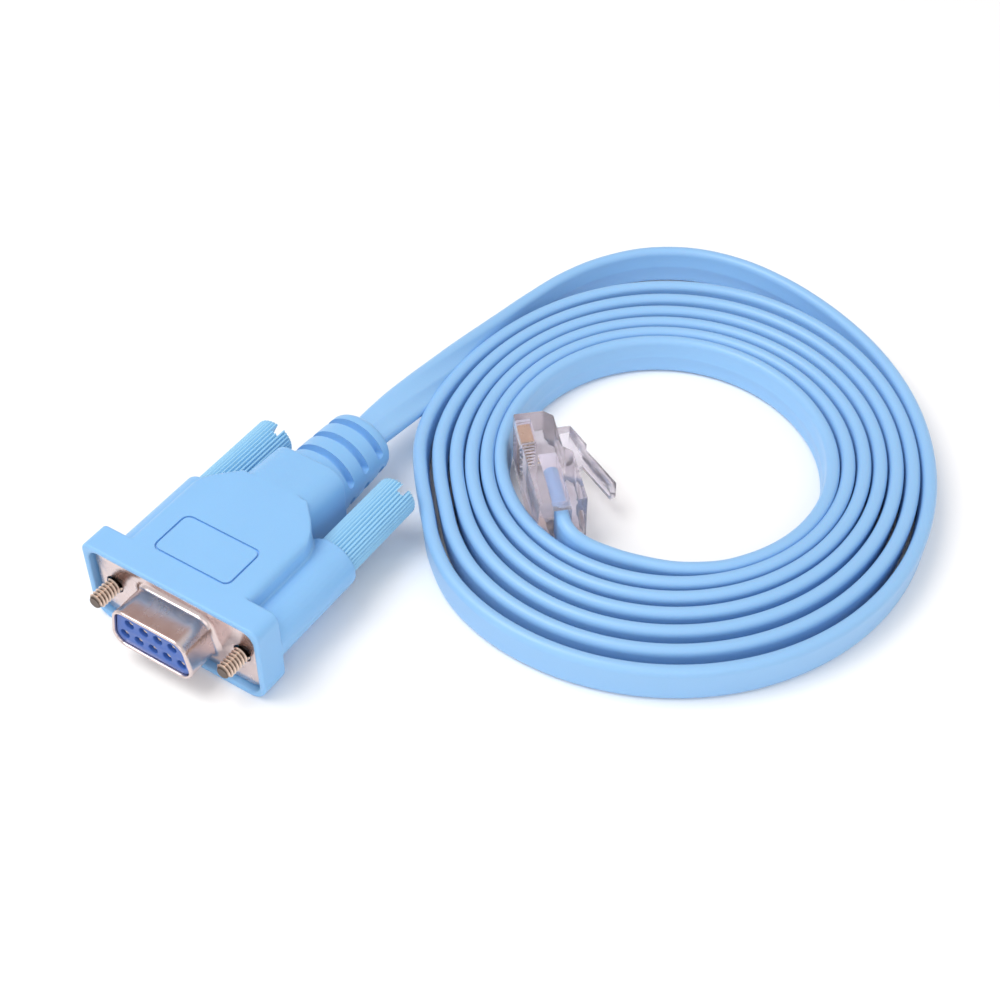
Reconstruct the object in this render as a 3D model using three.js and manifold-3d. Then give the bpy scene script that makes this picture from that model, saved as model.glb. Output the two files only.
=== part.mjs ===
// RJ45 console cable: a nine-way D-sub socket in a moulded hood with two thumbscrews, a flat
// eight-core cable wound in a loose coil, and a clear eight-way modular plug on its far end.
// Millimetres, +Z up. The connector lies level on the surface z = 0 with its mating face towards
// -Y, its cable towards +Y and its middle at x = 0. The coil and the plug lie on the same surface.
import * as THREE from "three";
import { mergeVertices } from "three/addons/utils/BufferGeometryUtils.js";
import Module from "manifold-3d";

const wasm = await Module();
wasm.setup();

// Running and seating gaps
const GAP = 0.3; // between pieces that touch
const FIT = 0.08; // between an insert and the wall that holds it

// Hood, one moulding: flange, body, rear block, two ears for the thumbscrews and the strain relief.
// The width of its flange sets those of the metal flange and the body, and the screws' places.
const HOOD_FLANGE = { width: 34.2, height: 15.6, rear: 3.9, rim: 1.0, topCorner: 1.6, lowCorner: 3.4 };
const SCREW_INSET = 4.6; // from each end of the flange to the middle of a screw
const SCREW_SPACING = HOOD_FLANGE.width - 2 * SCREW_INSET; // 25.0, as on every nine-way socket

// D-sub socket, size E: the metal shell's flange, its D-shaped tube and the nine contacts
const PLATE_BORDER = 1.6; // what the hood's flange stands out beyond the metal one at each end
const FLANGE_PLATE = { height: 12.5, thick: 0.8, corner: 1.8 };
const FLANGE_PLATE_WIDTH = HOOD_FLANGE.width - 2 * PLATE_BORDER;
const PLATE_SEAT = 0.5; // clearance all round the metal flange in its recess
const D_TUBE = { width: 16.3, height: 7.9, slope: 10, corner: 2.4, wall: 0.45, reach: 6.3 };
const INSULATOR_RECESS = 0.5; // its face behind the tube's lip
const CONTACT = { pitch: 2.77, row: 2.84, hole: 1.7, depth: 5.6, sleeve: 1.3, bore: 0.9 };

const BODY_STEP = 5.4; // from each end of the flange in to the side of the body
const BODY_WIDTH = HOOD_FLANGE.width - 2 * BODY_STEP;
const BODY = { rear: 24.8, shoulder: 17.0, rearWidth: 12.6, corner: 1.3 };
const BLOCK = { width: 14.0, rear: 33.2, rearHeight: 14.2, corner: 3.6 };
const EAR = { radius: 4.55, rear: 22.2 };
const RELIEF = { width: 12.8, height: 13.2, rear: 47.4, rearWidth: 11.8, rearHeight: 10.8, nose: 1.6 };
const RIB_GROOVE = { count: 3, first: 36.0, pitch: 4.1, width: 1.5, depth: 1.3, web: 1.2 };
const PANEL = { width: 14.9, length: 8.4, front: 4.1, line: 0.55, depth: 0.35, corner: 1.4 };

// Thumbscrews: a knurled plastic knob moulded on a 4-40 screw that sticks out in front
const KNOB = { diameter: 7.1, front: 9.0, rear: 39.6, ridges: 36, ridge: 0.24, slot: 1.3, slotDepth: 1.8 };
const KNOB_TUNNEL = 0.35; // the ear's clearance round the knob
const SCREW = { diameter: 2.84, root: 2.1, pitch: 0.635, threads: 7, tip: 4.6, neck: 2.2 };
const SCREW_GRIP = 4.0; // how far the screw is held inside the knob
const SCREW_HOLE = 3.2;
const SLOT_ANGLE = { left: 64, right: 58 }; // of each screwdriver slot, from +X towards +Z

// Flat cable, lead and coil
const CABLE = { width: 7.0, thick: 2.3 };
const CABLE_SLOT = 0.3; // clearance of the cable in the plug's cavity
const COIL = { centre: [42.0, 55.95], turns: 6, groove: 0.9, facets: 72 };
// Its inner edge is round and clears the plug. Its outer edge is an oval, longest along LONG_WAY.
const COIL_INNER = 30.7;
const COIL_OUTER = { middle: 46.4, oval: 4.6 };
const LONG_WAY = 121; // degrees from +X towards +Y
const LEAD_ROUTE = [
  [0.0, 27.1, 7.8],
  [0.0, 29.2, 7.8],
  [0.0, 31.3, 7.75],
  [0.0, 33.4, 7.7],
];
const PLUG_ROUTE = [
  [30.79, 36.15, 5.85],
  [33.03, 33.82, 5.85],
  [35.26, 31.48, 5.85],
  [37.5, 29.15, 5.85],
  [38.75, 27.95, 5.75],
  [40.4, 27.2, 5.3],
  [42.8, 27.15, 4.6],
  [46.2, 27.8, 4.0],
  [50.6, 29.0, 3.7],
  [55.6, 31.2, 3.55],
  [60.7, 34.6, 3.55],
  [65.2, 38.2, 3.55],
];

// Modular plug, eight positions, standing on its edge inside the coil
const PLUG = { width: 11.7, length: 21.5, nose: 6.6, height: 8.0, noseLength: 9.0, chamfer: 0.5, slant: 1.5 };
const PLUG_REAR = [37.5, 29.15]; // middle of its rear face, above the surface it stands on
const PLUG_HEADING = 133.8; // degrees from +X towards +Y, of the way the nose points
const PLUG_BLADE = { pitch: 1.02, thick: 0.35, length: 4.2, height: 2.6, slot: 0.62, setback: 1.5 };
const PLUG_CAVITY = { depth: 12.5 };
const LATCH = {
  width: 6.2, lever: 3.4, thick: 1.2, foot: 1.3, setback: 1.6, shoulder: 4.9, length: 14.7, angle: 20,
};

const rad = THREE.MathUtils.degToRad;

// Solids from closed meshes, and back
function solid(geometry) {
  const bare = geometry.clone();
  bare.deleteAttribute("normal");
  bare.deleteAttribute("uv");
  const merged = mergeVertices(bare, 1e-4);
  return new wasm.Manifold(
    new wasm.Mesh({
      numProp: 3,
      vertProperties: merged.attributes.position.array,
      triVerts: new Uint32Array(merged.index.array),
    }),
  );
}

function geometryOf(body) {
  const { numProp, vertProperties, triVerts } = body.getMesh();
  const count = vertProperties.length / numProp;
  const positions = new Float32Array(count * 3);
  for (let i = 0; i < count; i++) {
    positions.set(vertProperties.subarray(i * numProp, i * numProp + 3), i * 3);
  }
  const geometry = new THREE.BufferGeometry();
  geometry.setAttribute("position", new THREE.BufferAttribute(positions, 3));
  geometry.setIndex(new THREE.BufferAttribute(new Uint32Array(triVerts), 1));
  geometry.computeVertexNormals();
  return geometry;
}

const union = (...bodies) => bodies.reduce((whole, body) => whole.add(body));

// Outlines in a plane: a rectangle with its own radius at the top and at the bottom corners
function roundedRect(width, height, top, low = top) {
  const [x, y] = [width / 2, height / 2];
  const shape = new THREE.Shape();
  shape.moveTo(-x + low, -y).lineTo(x - low, -y);
  shape.absarc(x - low, -y + low, low, rad(-90), 0);
  shape.lineTo(x, y - top);
  shape.absarc(x - top, y - top, top, 0, rad(90));
  shape.lineTo(-x + top, y);
  shape.absarc(-x + top, y - top, top, rad(90), rad(180));
  shape.lineTo(-x, -y + low);
  shape.absarc(-x + low, -y + low, low, rad(180), rad(270));
  return shape;
}

// The D outline of the socket, wide side down, moved inwards by inset
function dOutline(inset) {
  const slope = rad(D_TUBE.slope);
  const high = D_TUBE.height / 2 - inset;
  const corner = D_TUBE.corner - inset;
  const sideAt = (y) => D_TUBE.width / 2 - inset / Math.cos(slope)
    - (y + D_TUBE.height / 2) * Math.tan(slope);
  // each corner's centre lies one radius inside both of the edges that it joins
  const lowX = sideAt(-high + corner) - corner / Math.cos(slope);
  const highX = sideAt(high - corner) - corner / Math.cos(slope);
  const shape = new THREE.Shape();
  shape.absarc(lowX, -high + corner, corner, rad(-90), slope);
  shape.absarc(highX, high - corner, corner, slope, rad(90));
  shape.absarc(-highX, high - corner, corner, rad(90), rad(180) - slope);
  shape.absarc(-lowX, -high + corner, corner, rad(180) - slope, rad(270));
  return shape;
}

// A plane outline carried along Y from one station to another, its own Y axis turned up to Z
function alongY(shape, from, to, steps = 1, curveSegments = 6) {
  const options = { depth: to - from, steps, curveSegments, bevelEnabled: false };
  return new THREE.ExtrudeGeometry(shape, options).rotateX(Math.PI / 2).translate(0, to, 0);
}

// An outline on the XY plane carried up along Z
function upward(shape, from, to, curveSegments = 6) {
  const options = { depth: to - from, curveSegments, bevelEnabled: false };
  return new THREE.ExtrudeGeometry(shape, options).translate(0, 0, from);
}

function boxSolid(x0, x1, y0, y1, z0, z1) {
  const box = new THREE.BoxGeometry(x1 - x0, y1 - y0, z1 - z0);
  return solid(box.translate((x0 + x1) / 2, (y0 + y1) / 2, (z0 + z1) / 2));
}

// A round bar along Y
function barSolid(radius, from, to, x = 0, z = 0, sides = 32) {
  const bar = new THREE.CylinderGeometry(radius, radius, to - from, sides);
  return solid(bar.translate(x, (from + to) / 2, z));
}

// Moves each vertex by a rule of its own place
function reshape(geometry, rule) {
  const p = geometry.attributes.position;
  const v = new THREE.Vector3();
  for (let i = 0; i < p.count; i++) {
    v.fromBufferAttribute(p, i);
    rule(v);
    p.setXYZ(i, v.x, v.y, v.z);
  }
  return geometry;
}

function polygon(points) {
  return new THREE.Shape(points.map(([x, y]) => new THREE.Vector2(x, y)));
}

const finishes = {
  hood: new THREE.MeshStandardMaterial({ color: "#8fc6f7", roughness: 0.5 }),
  knob: new THREE.MeshStandardMaterial({ color: "#8cc4f0", roughness: 0.55 }),
  cable: new THREE.MeshStandardMaterial({ color: "#94c4f5", roughness: 0.45 }),
  nickel: new THREE.MeshStandardMaterial({ color: "#cfc4bd", roughness: 0.28, metalness: 1 }),
  screw: new THREE.MeshStandardMaterial({ color: "#c9a884", roughness: 0.3, metalness: 1 }),
  insulator: new THREE.MeshStandardMaterial({ color: "#5a78d8", roughness: 0.45 }),
  gold: new THREE.MeshStandardMaterial({ color: "#d9a441", roughness: 0.25, metalness: 1 }),
  clear: new THREE.MeshStandardMaterial({
    color: "#e6e0ee", roughness: 0.08, transparent: true, opacity: 0.35,
  }),
};

function piece(name, shape, finish) {
  const geometry = shape.isBufferGeometry ? shape : geometryOf(shape);
  const mesh = new THREE.Mesh(geometry, finishes[finish]);
  mesh.name = name;
  return mesh;
}

// Connector, drawn with y = 0 on the front of the metal flange and z = 0 on the socket's middle
function bodySolid() {
  const half = BODY_WIDTH / 2;
  const rear = BODY.rearWidth / 2;
  const plan = new THREE.Shape();
  plan.moveTo(-half, 0).lineTo(half, 0).lineTo(half, BODY.shoulder);
  plan.quadraticCurveTo(half, BODY.shoulder + 2.2, rear + 2.6, BODY.rear - 2.6);
  plan.lineTo(rear, BODY.rear).lineTo(-rear, BODY.rear).lineTo(-rear - 2.6, BODY.rear - 2.6);
  plan.quadraticCurveTo(-half, BODY.shoulder + 2.2, -half, BODY.shoulder);
  const top = HOOD_FLANGE.height / 2;
  const slab = solid(upward(plan, -top, top));
  const section = roundedRect(BODY_WIDTH, HOOD_FLANGE.height, BODY.corner);
  return slab.intersect(solid(alongY(section, 0, BODY.rear + 1)));
}

function blockSolid() {
  const section = roundedRect(BLOCK.width, HOOD_FLANGE.height, BLOCK.corner);
  const front = BODY.shoulder;
  const fall = BLOCK.rearHeight / HOOD_FLANGE.height;
  const shape = reshape(alongY(section, front, BLOCK.rear, 4), (v) => {
    const along = Math.max(0, (v.y - BODY.rear) / (BLOCK.rear - BODY.rear));
    v.z *= 1 + (fall - 1) * along;
  });
  return solid(shape);
}

// The strain relief's oval, drawn in by inset, tapering and rounded off at its rear end
function reliefSolid(inset) {
  const front = BLOCK.rear - 1;
  const oval = new THREE.Shape().absellipse(0, 0, 1, 1, 0, 2 * Math.PI);
  const length = RELIEF.rear - front;
  const shape = reshape(alongY(oval, 0, 1, 12, 14), (v) => {
    const turn = v.y * (Math.PI / 2);
    const y = front + length * Math.sin(turn);
    const taper = (y - front) / length;
    const fromEnd = Math.max(0, (y - (RELIEF.rear - RELIEF.nose)) / RELIEF.nose);
    const round = RELIEF.nose * (1 - Math.sqrt(Math.max(0, 1 - fromEnd * fromEnd)));
    const shrink = inset + round;
    v.x *= RELIEF.width / 2 + ((RELIEF.rearWidth - RELIEF.width) / 2) * taper - shrink;
    v.z *= RELIEF.height / 2 + ((RELIEF.rearHeight - RELIEF.height) / 2) * taper - shrink;
    v.y = y;
  });
  return solid(shape);
}

function reliefGrooves() {
  const core = reliefSolid(RIB_GROOVE.depth);
  const [x, z] = [RELIEF.width, RELIEF.height];
  const cuts = [];
  for (let i = 0; i < RIB_GROOVE.count; i++) {
    const y = RIB_GROOVE.first + i * RIB_GROOVE.pitch;
    const [y0, y1] = [y - RIB_GROOVE.width / 2, y + RIB_GROOVE.width / 2];
    cuts.push(boxSolid(-x, x, y0, y1, RIB_GROOVE.web, z).subtract(core));
    cuts.push(boxSolid(-x, x, y0, y1, -z, -RIB_GROOVE.web).subtract(core));
  }
  return union(...cuts);
}

function panelLine() {
  const outer = roundedRect(PANEL.width, PANEL.length, PANEL.corner);
  const inner = roundedRect(
    PANEL.width - 2 * PANEL.line, PANEL.length - 2 * PANEL.line, PANEL.corner - PANEL.line,
  );
  const top = HOOD_FLANGE.height / 2;
  const frame = solid(upward(outer, top - PANEL.depth, top + 1))
    .subtract(solid(upward(inner, top - PANEL.depth - 1, top + 2)));
  return frame.translate([0, PANEL.front + PANEL.length / 2, 0]);
}

function hood() {
  const { width, height, rear, rim, topCorner, lowCorner } = HOOD_FLANGE;
  const flange = solid(alongY(roundedRect(width, height, topCorner, lowCorner), -rim, rear));
  let whole = union(flange, bodySolid(), blockSolid(), reliefSolid(0));
  for (const side of [-1, 1]) {
    const x = side * (SCREW_SPACING / 2);
    whole = whole.add(barSolid(EAR.radius, rear - 1, EAR.rear, x));
  }
  const seatWide = FLANGE_PLATE_WIDTH + 2 * PLATE_SEAT;
  const seatHigh = FLANGE_PLATE.height + 2 * PLATE_SEAT;
  const seat = roundedRect(seatWide, seatHigh, FLANGE_PLATE.corner + PLATE_SEAT);
  whole = whole.subtract(solid(alongY(seat, -rim - 1, FLANGE_PLATE.thick + FIT)));
  whole = whole.subtract(reliefGrooves()).subtract(panelLine());
  for (const side of [-1, 1]) {
    const x = side * (SCREW_SPACING / 2);
    const tunnel = KNOB.diameter / 2 + KNOB_TUNNEL;
    whole = whole.subtract(barSolid(SCREW_HOLE / 2, 0, KNOB.front, x));
    whole = whole.subtract(barSolid(tunnel, KNOB.front - GAP, BODY.rear + 1, x));
  }
  // pocket behind the metal flange that the socket's insulator fills
  const pocket = solid(alongY(dOutline(-GAP), 0, rear + 2));
  return piece("hood", whole.subtract(pocket), "hood");
}

function socketShell() {
  const { height, thick, corner } = FLANGE_PLATE;
  const plate = solid(alongY(roundedRect(FLANGE_PLATE_WIDTH, height, corner), 0, thick));
  const tube = solid(alongY(dOutline(0), -D_TUBE.reach, thick));
  let whole = plate.add(tube);
  whole = whole.subtract(solid(alongY(dOutline(D_TUBE.wall), -D_TUBE.reach - 1, thick + 1)));
  for (const side of [-1, 1]) {
    whole = whole.subtract(barSolid(SCREW_HOLE / 2, -1, thick + 1, side * (SCREW_SPACING / 2)));
  }
  return piece("socket_shell", whole, "nickel");
}

// Nine contact places: four in the short upper row, five in the long lower row
function contactPlaces() {
  const places = [];
  for (const [count, z] of [[5, -CONTACT.row / 2], [4, CONTACT.row / 2]]) {
    for (let i = 0; i < count; i++) {
      places.push([(i - (count - 1) / 2) * CONTACT.pitch, z]);
    }
  }
  return places;
}

const INSULATOR_FRONT = INSULATOR_RECESS - D_TUBE.reach;

function insulator() {
  const outline = dOutline(D_TUBE.wall + FIT);
  let whole = solid(alongY(outline, INSULATOR_FRONT, HOOD_FLANGE.rear + 2 - GAP));
  for (const [x, z] of contactPlaces()) {
    const end = INSULATOR_FRONT + CONTACT.depth;
    whole = whole.subtract(barSolid(CONTACT.hole / 2, INSULATOR_FRONT - 1, end, x, z, 16));
  }
  return piece("insulator", whole, "insulator");
}

// A socket contact: a small sleeve, open to the front
function contacts() {
  const [outer, bore] = [CONTACT.sleeve / 2, CONTACT.bore / 2];
  const rear = INSULATOR_FRONT + CONTACT.depth;
  const profile = [
    [0, rear - 1], [bore, rear - 1], [bore, INSULATOR_FRONT + 0.6],
    [outer, INSULATOR_FRONT + 0.6], [outer, rear], [0, rear],
  ].map(([r, y]) => new THREE.Vector2(r, y));
  return contactPlaces().map(([x, z], i) => {
    const mesh = piece(`contact_${i + 1}`, new THREE.LatheGeometry(profile, 12), "gold");
    mesh.position.set(x, 0, z);
    return mesh;
  });
}

function knob(side, label) {
  const sides = KNOB.ridges * 2;
  const outline = [];
  for (let i = 0; i < sides; i++) {
    const radius = KNOB.diameter / 2 - (i % 2 ? KNOB.ridge : 0);
    const turn = (i / sides) * 2 * Math.PI;
    outline.push([radius * Math.cos(turn), radius * Math.sin(turn)]);
  }
  let whole = solid(alongY(polygon(outline), KNOB.front, KNOB.rear));
  const reach = KNOB.diameter;
  const slot = boxSolid(
    -reach, reach, KNOB.rear - KNOB.slotDepth, KNOB.rear + 1, -KNOB.slot / 2, KNOB.slot / 2,
  );
  whole = whole.subtract(slot.rotate([0, -SLOT_ANGLE[label], 0]));
  const grip = barSolid(SCREW.neck / 2 + FIT, KNOB.front - 1, KNOB.front + SCREW_GRIP, 0, 0, 20);
  const mesh = piece(`thumb_knob_${label}`, whole.subtract(grip), "knob");
  mesh.position.x = side * (SCREW_SPACING / 2);
  return mesh;
}

// The screw: a plain neck through the hood and a threaded end, its threads as rings
function jackscrew(side, label) {
  const [crest, root, neck] = [SCREW.diameter / 2, SCREW.root / 2, SCREW.neck / 2];
  const tip = -SCREW.tip;
  const profile = [[0, tip], [root, tip]];
  for (let i = 0; i < SCREW.threads; i++) {
    const y = tip + 0.15 + i * SCREW.pitch;
    profile.push([crest, y + SCREW.pitch * 0.4], [crest, y + SCREW.pitch * 0.6]);
    profile.push([root, y + SCREW.pitch]);
  }
  const threadEnd = profile.at(-1)[1];
  const end = KNOB.front + SCREW_GRIP - GAP;
  profile.push([neck, threadEnd + 0.1], [neck, end], [0, end]);
  const points = profile.map(([r, y]) => new THREE.Vector2(r, y));
  const mesh = piece(`jackscrew_${label}`, new THREE.LatheGeometry(points, 20), "screw");
  mesh.position.x = side * (SCREW_SPACING / 2);
  return mesh;
}

function connector() {
  const group = new THREE.Group();
  group.add(hood(), socketShell(), insulator(), ...contacts());
  for (const [side, label] of [[-1, "left"], [1, "right"]]) {
    group.add(knob(side, label), jackscrew(side, label));
  }
  // the middle of its length stands over the origin, and its base on z = 0
  const middle = (RELIEF.rear - D_TUBE.reach) / 2;
  group.position.set(0, -middle, HOOD_FLANGE.height / 2);
  return group;
}

// A ribbon: the cable's section carried along a route. roll gives the turn of its wide side
// about the route, in degrees, from flat (0) to on edge (90), for a share of the way from 0 to 1.
function ribbon(route, steps, roll) {
  const curve = new THREE.CatmullRomCurve3(route.map((p) => new THREE.Vector3(...p)));
  const { width, thick } = CABLE;
  const [x, z] = [width / 2, thick / 2];
  const edge = z * 0.55;
  const section = polygon([
    [-x + edge, -z], [x - edge, -z], [x, -z + edge], [x, z - edge],
    [x - edge, z], [-x + edge, z], [-x, z - edge], [-x, -z + edge],
  ]);
  const up = new THREE.Vector3(0, 0, 1);
  return reshape(alongY(section, 0, 1, steps), (v) => {
    const share = THREE.MathUtils.clamp(v.y, 0, 1);
    const ahead = curve.getTangentAt(share);
    const side = ahead.clone().cross(up).normalize();
    const high = side.clone().cross(ahead);
    const turn = rad(roll(share));
    const wide = side.clone().multiplyScalar(Math.cos(turn)).addScaledVector(high, Math.sin(turn));
    const thin = high.clone().multiplyScalar(Math.cos(turn)).addScaledVector(side, -Math.sin(turn));
    const at = curve.getPointAt(share).addScaledVector(wide, v.x).addScaledVector(thin, v.z);
    v.copy(at);
  });
}

// The coil's outer shape: one ring, with a groove between each turn and the next on both faces
function coilRing() {
  const { turns, groove, facets, centre } = COIL;
  const top = [];
  for (let i = 0; i < turns; i++) {
    top.push([i / turns, CABLE.width - groove], [(i + 0.5) / turns, CABLE.width]);
  }
  top.push([1, CABLE.width - groove]);
  const low = top.map(([share, z]) => [share, CABLE.width - z]).reverse();
  const profile = [low[0], ...top.reverse(), ...low.reverse()];
  // turned as a ring of radii 1 to 2, then each point is carried to its share of the width there
  const plain = profile.map(([share, z]) => new THREE.Vector2(1 + share, z));
  const ring = new THREE.LatheGeometry(plain, facets).rotateX(Math.PI / 2);
  const shape = reshape(ring, (v) => {
    const way = Math.atan2(v.y, v.x);
    const outer = COIL_OUTER.middle + COIL_OUTER.oval * Math.cos(2 * (way - rad(LONG_WAY)));
    const r = COIL_INNER + (Math.hypot(v.x, v.y) - 1) * (outer - COIL_INNER);
    v.x = r * Math.cos(way);
    v.y = r * Math.sin(way);
  });
  const mesh = piece("flat_cable_coil", shape, "cable");
  mesh.position.set(centre[0], centre[1], 0);
  return mesh;
}

function cable() {
  const group = new THREE.Group();
  const lead = ribbon(LEAD_ROUTE, 3, () => 0);
  const plugEnd = ribbon(PLUG_ROUTE, 16, () => 90);
  group.add(piece("flat_cable_lead", lead, "cable"), coilRing());
  group.add(piece("flat_cable_plug_end", plugEnd, "cable"));
  return group;
}

// Plug, drawn with its rear face on y = 0, its nose towards +Y, its contacts on the -X side, its
// latch on the +X side and its width upwards from z = 0
function plugBody() {
  const { width, length, nose, height, noseLength, chamfer, slant } = PLUG;
  const [contactSide, latchSide] = [-height / 2, height / 2];
  const noseSide = contactSide + nose;
  const outline = polygon([
    [contactSide, 0], [latchSide, 0], [latchSide, length - noseLength - 1.4],
    [noseSide, length - noseLength], [noseSide, length - slant], [noseSide - slant, length],
    [contactSide + chamfer, length], [contactSide, length - chamfer],
  ]);
  let whole = solid(upward(outline, 0, width));
  const [thin, wide] = [CABLE.thick / 2 + CABLE_SLOT, CABLE.width / 2 + CABLE_SLOT];
  const middle = width / 2;
  whole = whole.subtract(
    boxSolid(-thin, thin, -1, PLUG_CAVITY.depth, middle - wide, middle + wide),
  );
  const front = length - PLUG_BLADE.setback;
  for (const z of bladePlaces()) {
    const half = PLUG_BLADE.slot / 2;
    const [back, deep] = [front - PLUG_BLADE.length - GAP, PLUG_BLADE.height + GAP];
    whole = whole.subtract(
      boxSolid(contactSide - 1, contactSide + deep, back, length - 0.45, z - half, z + half),
    );
  }
  return piece("plug_body", whole, "clear");
}

const bladePlaces = () => Array.from({ length: 8 }, (_, i) => PLUG.width / 2 + (i - 3.5) * PLUG_BLADE.pitch);

function plugBlades() {
  const contactSide = -PLUG.height / 2;
  const front = PLUG.length - PLUG_BLADE.setback;
  return bladePlaces().map((z, i) => {
    const { thick, length, height } = PLUG_BLADE;
    const outline = polygon([
      [contactSide + 0.35, front - length], [contactSide + height, front - length],
      [contactSide + height, front], [contactSide + 0.8, front], [contactSide + 0.35, front - 0.5],
    ]);
    return piece(`plug_contact_${i + 1}`, upward(outline, z - thick / 2, z + thick / 2), "gold");
  });
}

// The latch: a foot on the nose, wide shoulders, then a narrow lever that slants away to the rear
function plugLatch() {
  const { width, lever, thick, foot, setback, shoulder, length, angle } = LATCH;
  const seat = PLUG.nose - PLUG.height / 2 + GAP;
  const root = [seat + foot, PLUG.length - setback];
  const [sin, cos] = [Math.sin(rad(angle)), Math.cos(rad(angle))];
  const along = (reach, out) => [root[0] + reach * sin + out * cos, root[1] - reach * cos + out * sin];
  const side = polygon([
    [seat, root[1] - 1.8], along(2, 0), along(length, 0), along(length, thick), along(0.4, thick),
    [root[0], root[1]], [seat, root[1]],
  ]);
  const [low, high] = [(PLUG.width - width) / 2, (PLUG.width + width) / 2];
  const blade = solid(upward(side, low, high));
  const cut = root[1] - shoulder;
  const [thin, reach] = [(width - lever) / 2, PLUG.length];
  const below = boxSolid(-reach, reach, -reach, cut, low - 1, low + thin);
  const above = boxSolid(-reach, reach, -reach, cut, high - thin, high + 1);
  return piece("plug_latch", blade.subtract(below).subtract(above), "clear");
}

function plug() {
  const group = new THREE.Group();
  group.add(plugBody(), plugLatch(), ...plugBlades());
  group.position.set(PLUG_REAR[0], PLUG_REAR[1], 0);
  group.rotation.z = rad(PLUG_HEADING - 90);
  return group;
}

const consoleCable = new THREE.Group();
consoleCable.add(connector(), cable(), plug());

export default consoleCable;
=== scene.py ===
"""Looks of an RJ45 console cable: nine-way D-sub socket, flat light-blue cable and modular plug.

Sizes in the classes are millimetres in the frame of the CAD part; meshes are written in metres.
"""

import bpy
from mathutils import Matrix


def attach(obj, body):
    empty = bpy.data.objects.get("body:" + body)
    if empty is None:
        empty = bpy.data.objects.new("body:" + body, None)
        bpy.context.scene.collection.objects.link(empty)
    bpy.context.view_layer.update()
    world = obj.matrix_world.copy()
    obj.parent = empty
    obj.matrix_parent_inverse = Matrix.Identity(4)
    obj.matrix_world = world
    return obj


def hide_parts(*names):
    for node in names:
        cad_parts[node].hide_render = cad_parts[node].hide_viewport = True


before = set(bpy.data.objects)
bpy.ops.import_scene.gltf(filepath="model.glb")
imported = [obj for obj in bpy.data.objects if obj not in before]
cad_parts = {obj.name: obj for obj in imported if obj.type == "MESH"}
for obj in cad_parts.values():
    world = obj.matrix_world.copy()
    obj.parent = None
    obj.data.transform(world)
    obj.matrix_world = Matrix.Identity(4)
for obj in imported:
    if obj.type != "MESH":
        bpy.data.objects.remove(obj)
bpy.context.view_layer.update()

import logging
import math
from collections.abc import Callable, Iterable, Sequence
from dataclasses import dataclass
from enum import Enum

import bmesh
import bpy
from mathutils import Matrix, Vector

log = logging.getLogger("console_cable")

MM = 0.001
CONNECTOR = Vector((0.0, -20.55, 7.8))  # the connector's own origin: front of its metal flange

Point = tuple[float, float, float]
Ring = list[Vector]


class Side(Enum):
    """The two ends of the connector, seen from above with its socket towards the viewer."""

    LEFT = -1
    RIGHT = 1

    @property
    def label(self) -> str:
        """The side's name as it stands in node and body names."""
        return self.name.lower()


class Ending(Enum):
    """How a loft ends: with a face on each end, or with its ends joined to each other."""

    CAPPED = 1
    JOINED = 2


# Mesh helpers


def mesh_piece(name: str, points: Iterable[Sequence[float]], faces: Iterable[Sequence[int]],
               finish: bpy.types.Material | None = None, crease: float = 35.0) -> bpy.types.Object:
    """Makes a closed mesh object with its normals outwards.

    Args:
        name: the object's name.
        points: vertices in millimetres, in the part's frame.
        faces: vertex numbers of each face.
        finish: the material, if the piece has one.
        crease: edges sharper than this many degrees stay sharp.

    Returns:
        The new object, at the origin.
    """
    mesh = bpy.data.meshes.new(name)
    mesh.from_pydata([tuple(c * MM for c in p) for p in points], [], [tuple(f) for f in faces])
    piece = bpy.data.objects.new(name, mesh)
    bpy.context.scene.collection.objects.link(piece)
    if finish is not None:
        mesh.materials.append(finish)
    tidy_mesh(piece, crease)
    return piece


def tidy_mesh(piece: bpy.types.Object, crease: float = 35.0, turn_outwards: bool = True) -> None:
    """Merges doubles, turns the faces outwards and shades the mesh smooth up to the crease angle."""
    work = bmesh.new()
    work.from_mesh(piece.data)
    bmesh.ops.remove_doubles(work, verts=work.verts, dist=1e-7)
    if turn_outwards:
        bmesh.ops.recalc_face_normals(work, faces=work.faces)
    work.to_mesh(piece.data)
    work.free()
    piece.data.shade_smooth()
    piece.data.set_sharp_from_angle(angle=math.radians(crease))


def baked(piece: bpy.types.Object, crease: float | None = 35.0) -> bpy.types.Object:
    """Turns a piece's modifiers into plain mesh.

    Args:
        piece: an object whose modifiers are ready.
        crease: the shading's crease angle afterwards, or None to keep the shading as it is.

    Returns:
        The same object, without modifiers.
    """
    graph = bpy.context.evaluated_depsgraph_get()
    ready = piece.evaluated_get(graph)
    made = bpy.data.meshes.new_from_object(ready, preserve_all_data_layers=True, depsgraph=graph)
    old = piece.data
    piece.modifiers.clear()
    piece.data = made
    made.name = piece.name
    if not made.materials and old.materials:
        made.materials.append(old.materials[0])
    if crease is not None:
        made.shade_smooth()
        made.set_sharp_from_angle(angle=math.radians(crease))
    return piece


def merged(name: str, pieces: Sequence[bpy.types.Object]) -> bpy.types.Object:
    """Puts the meshes of several pieces into the first one and names it."""
    first = pieces[0]
    work = bmesh.new()
    for piece in pieces:
        work.from_mesh(piece.data)
    work.to_mesh(first.data)
    work.free()
    first.data.shade_smooth()
    first.data.set_sharp_from_angle(angle=math.radians(35))
    for piece in pieces[1:]:
        bpy.data.objects.remove(piece)
    first.name = first.data.name = name
    return first


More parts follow.
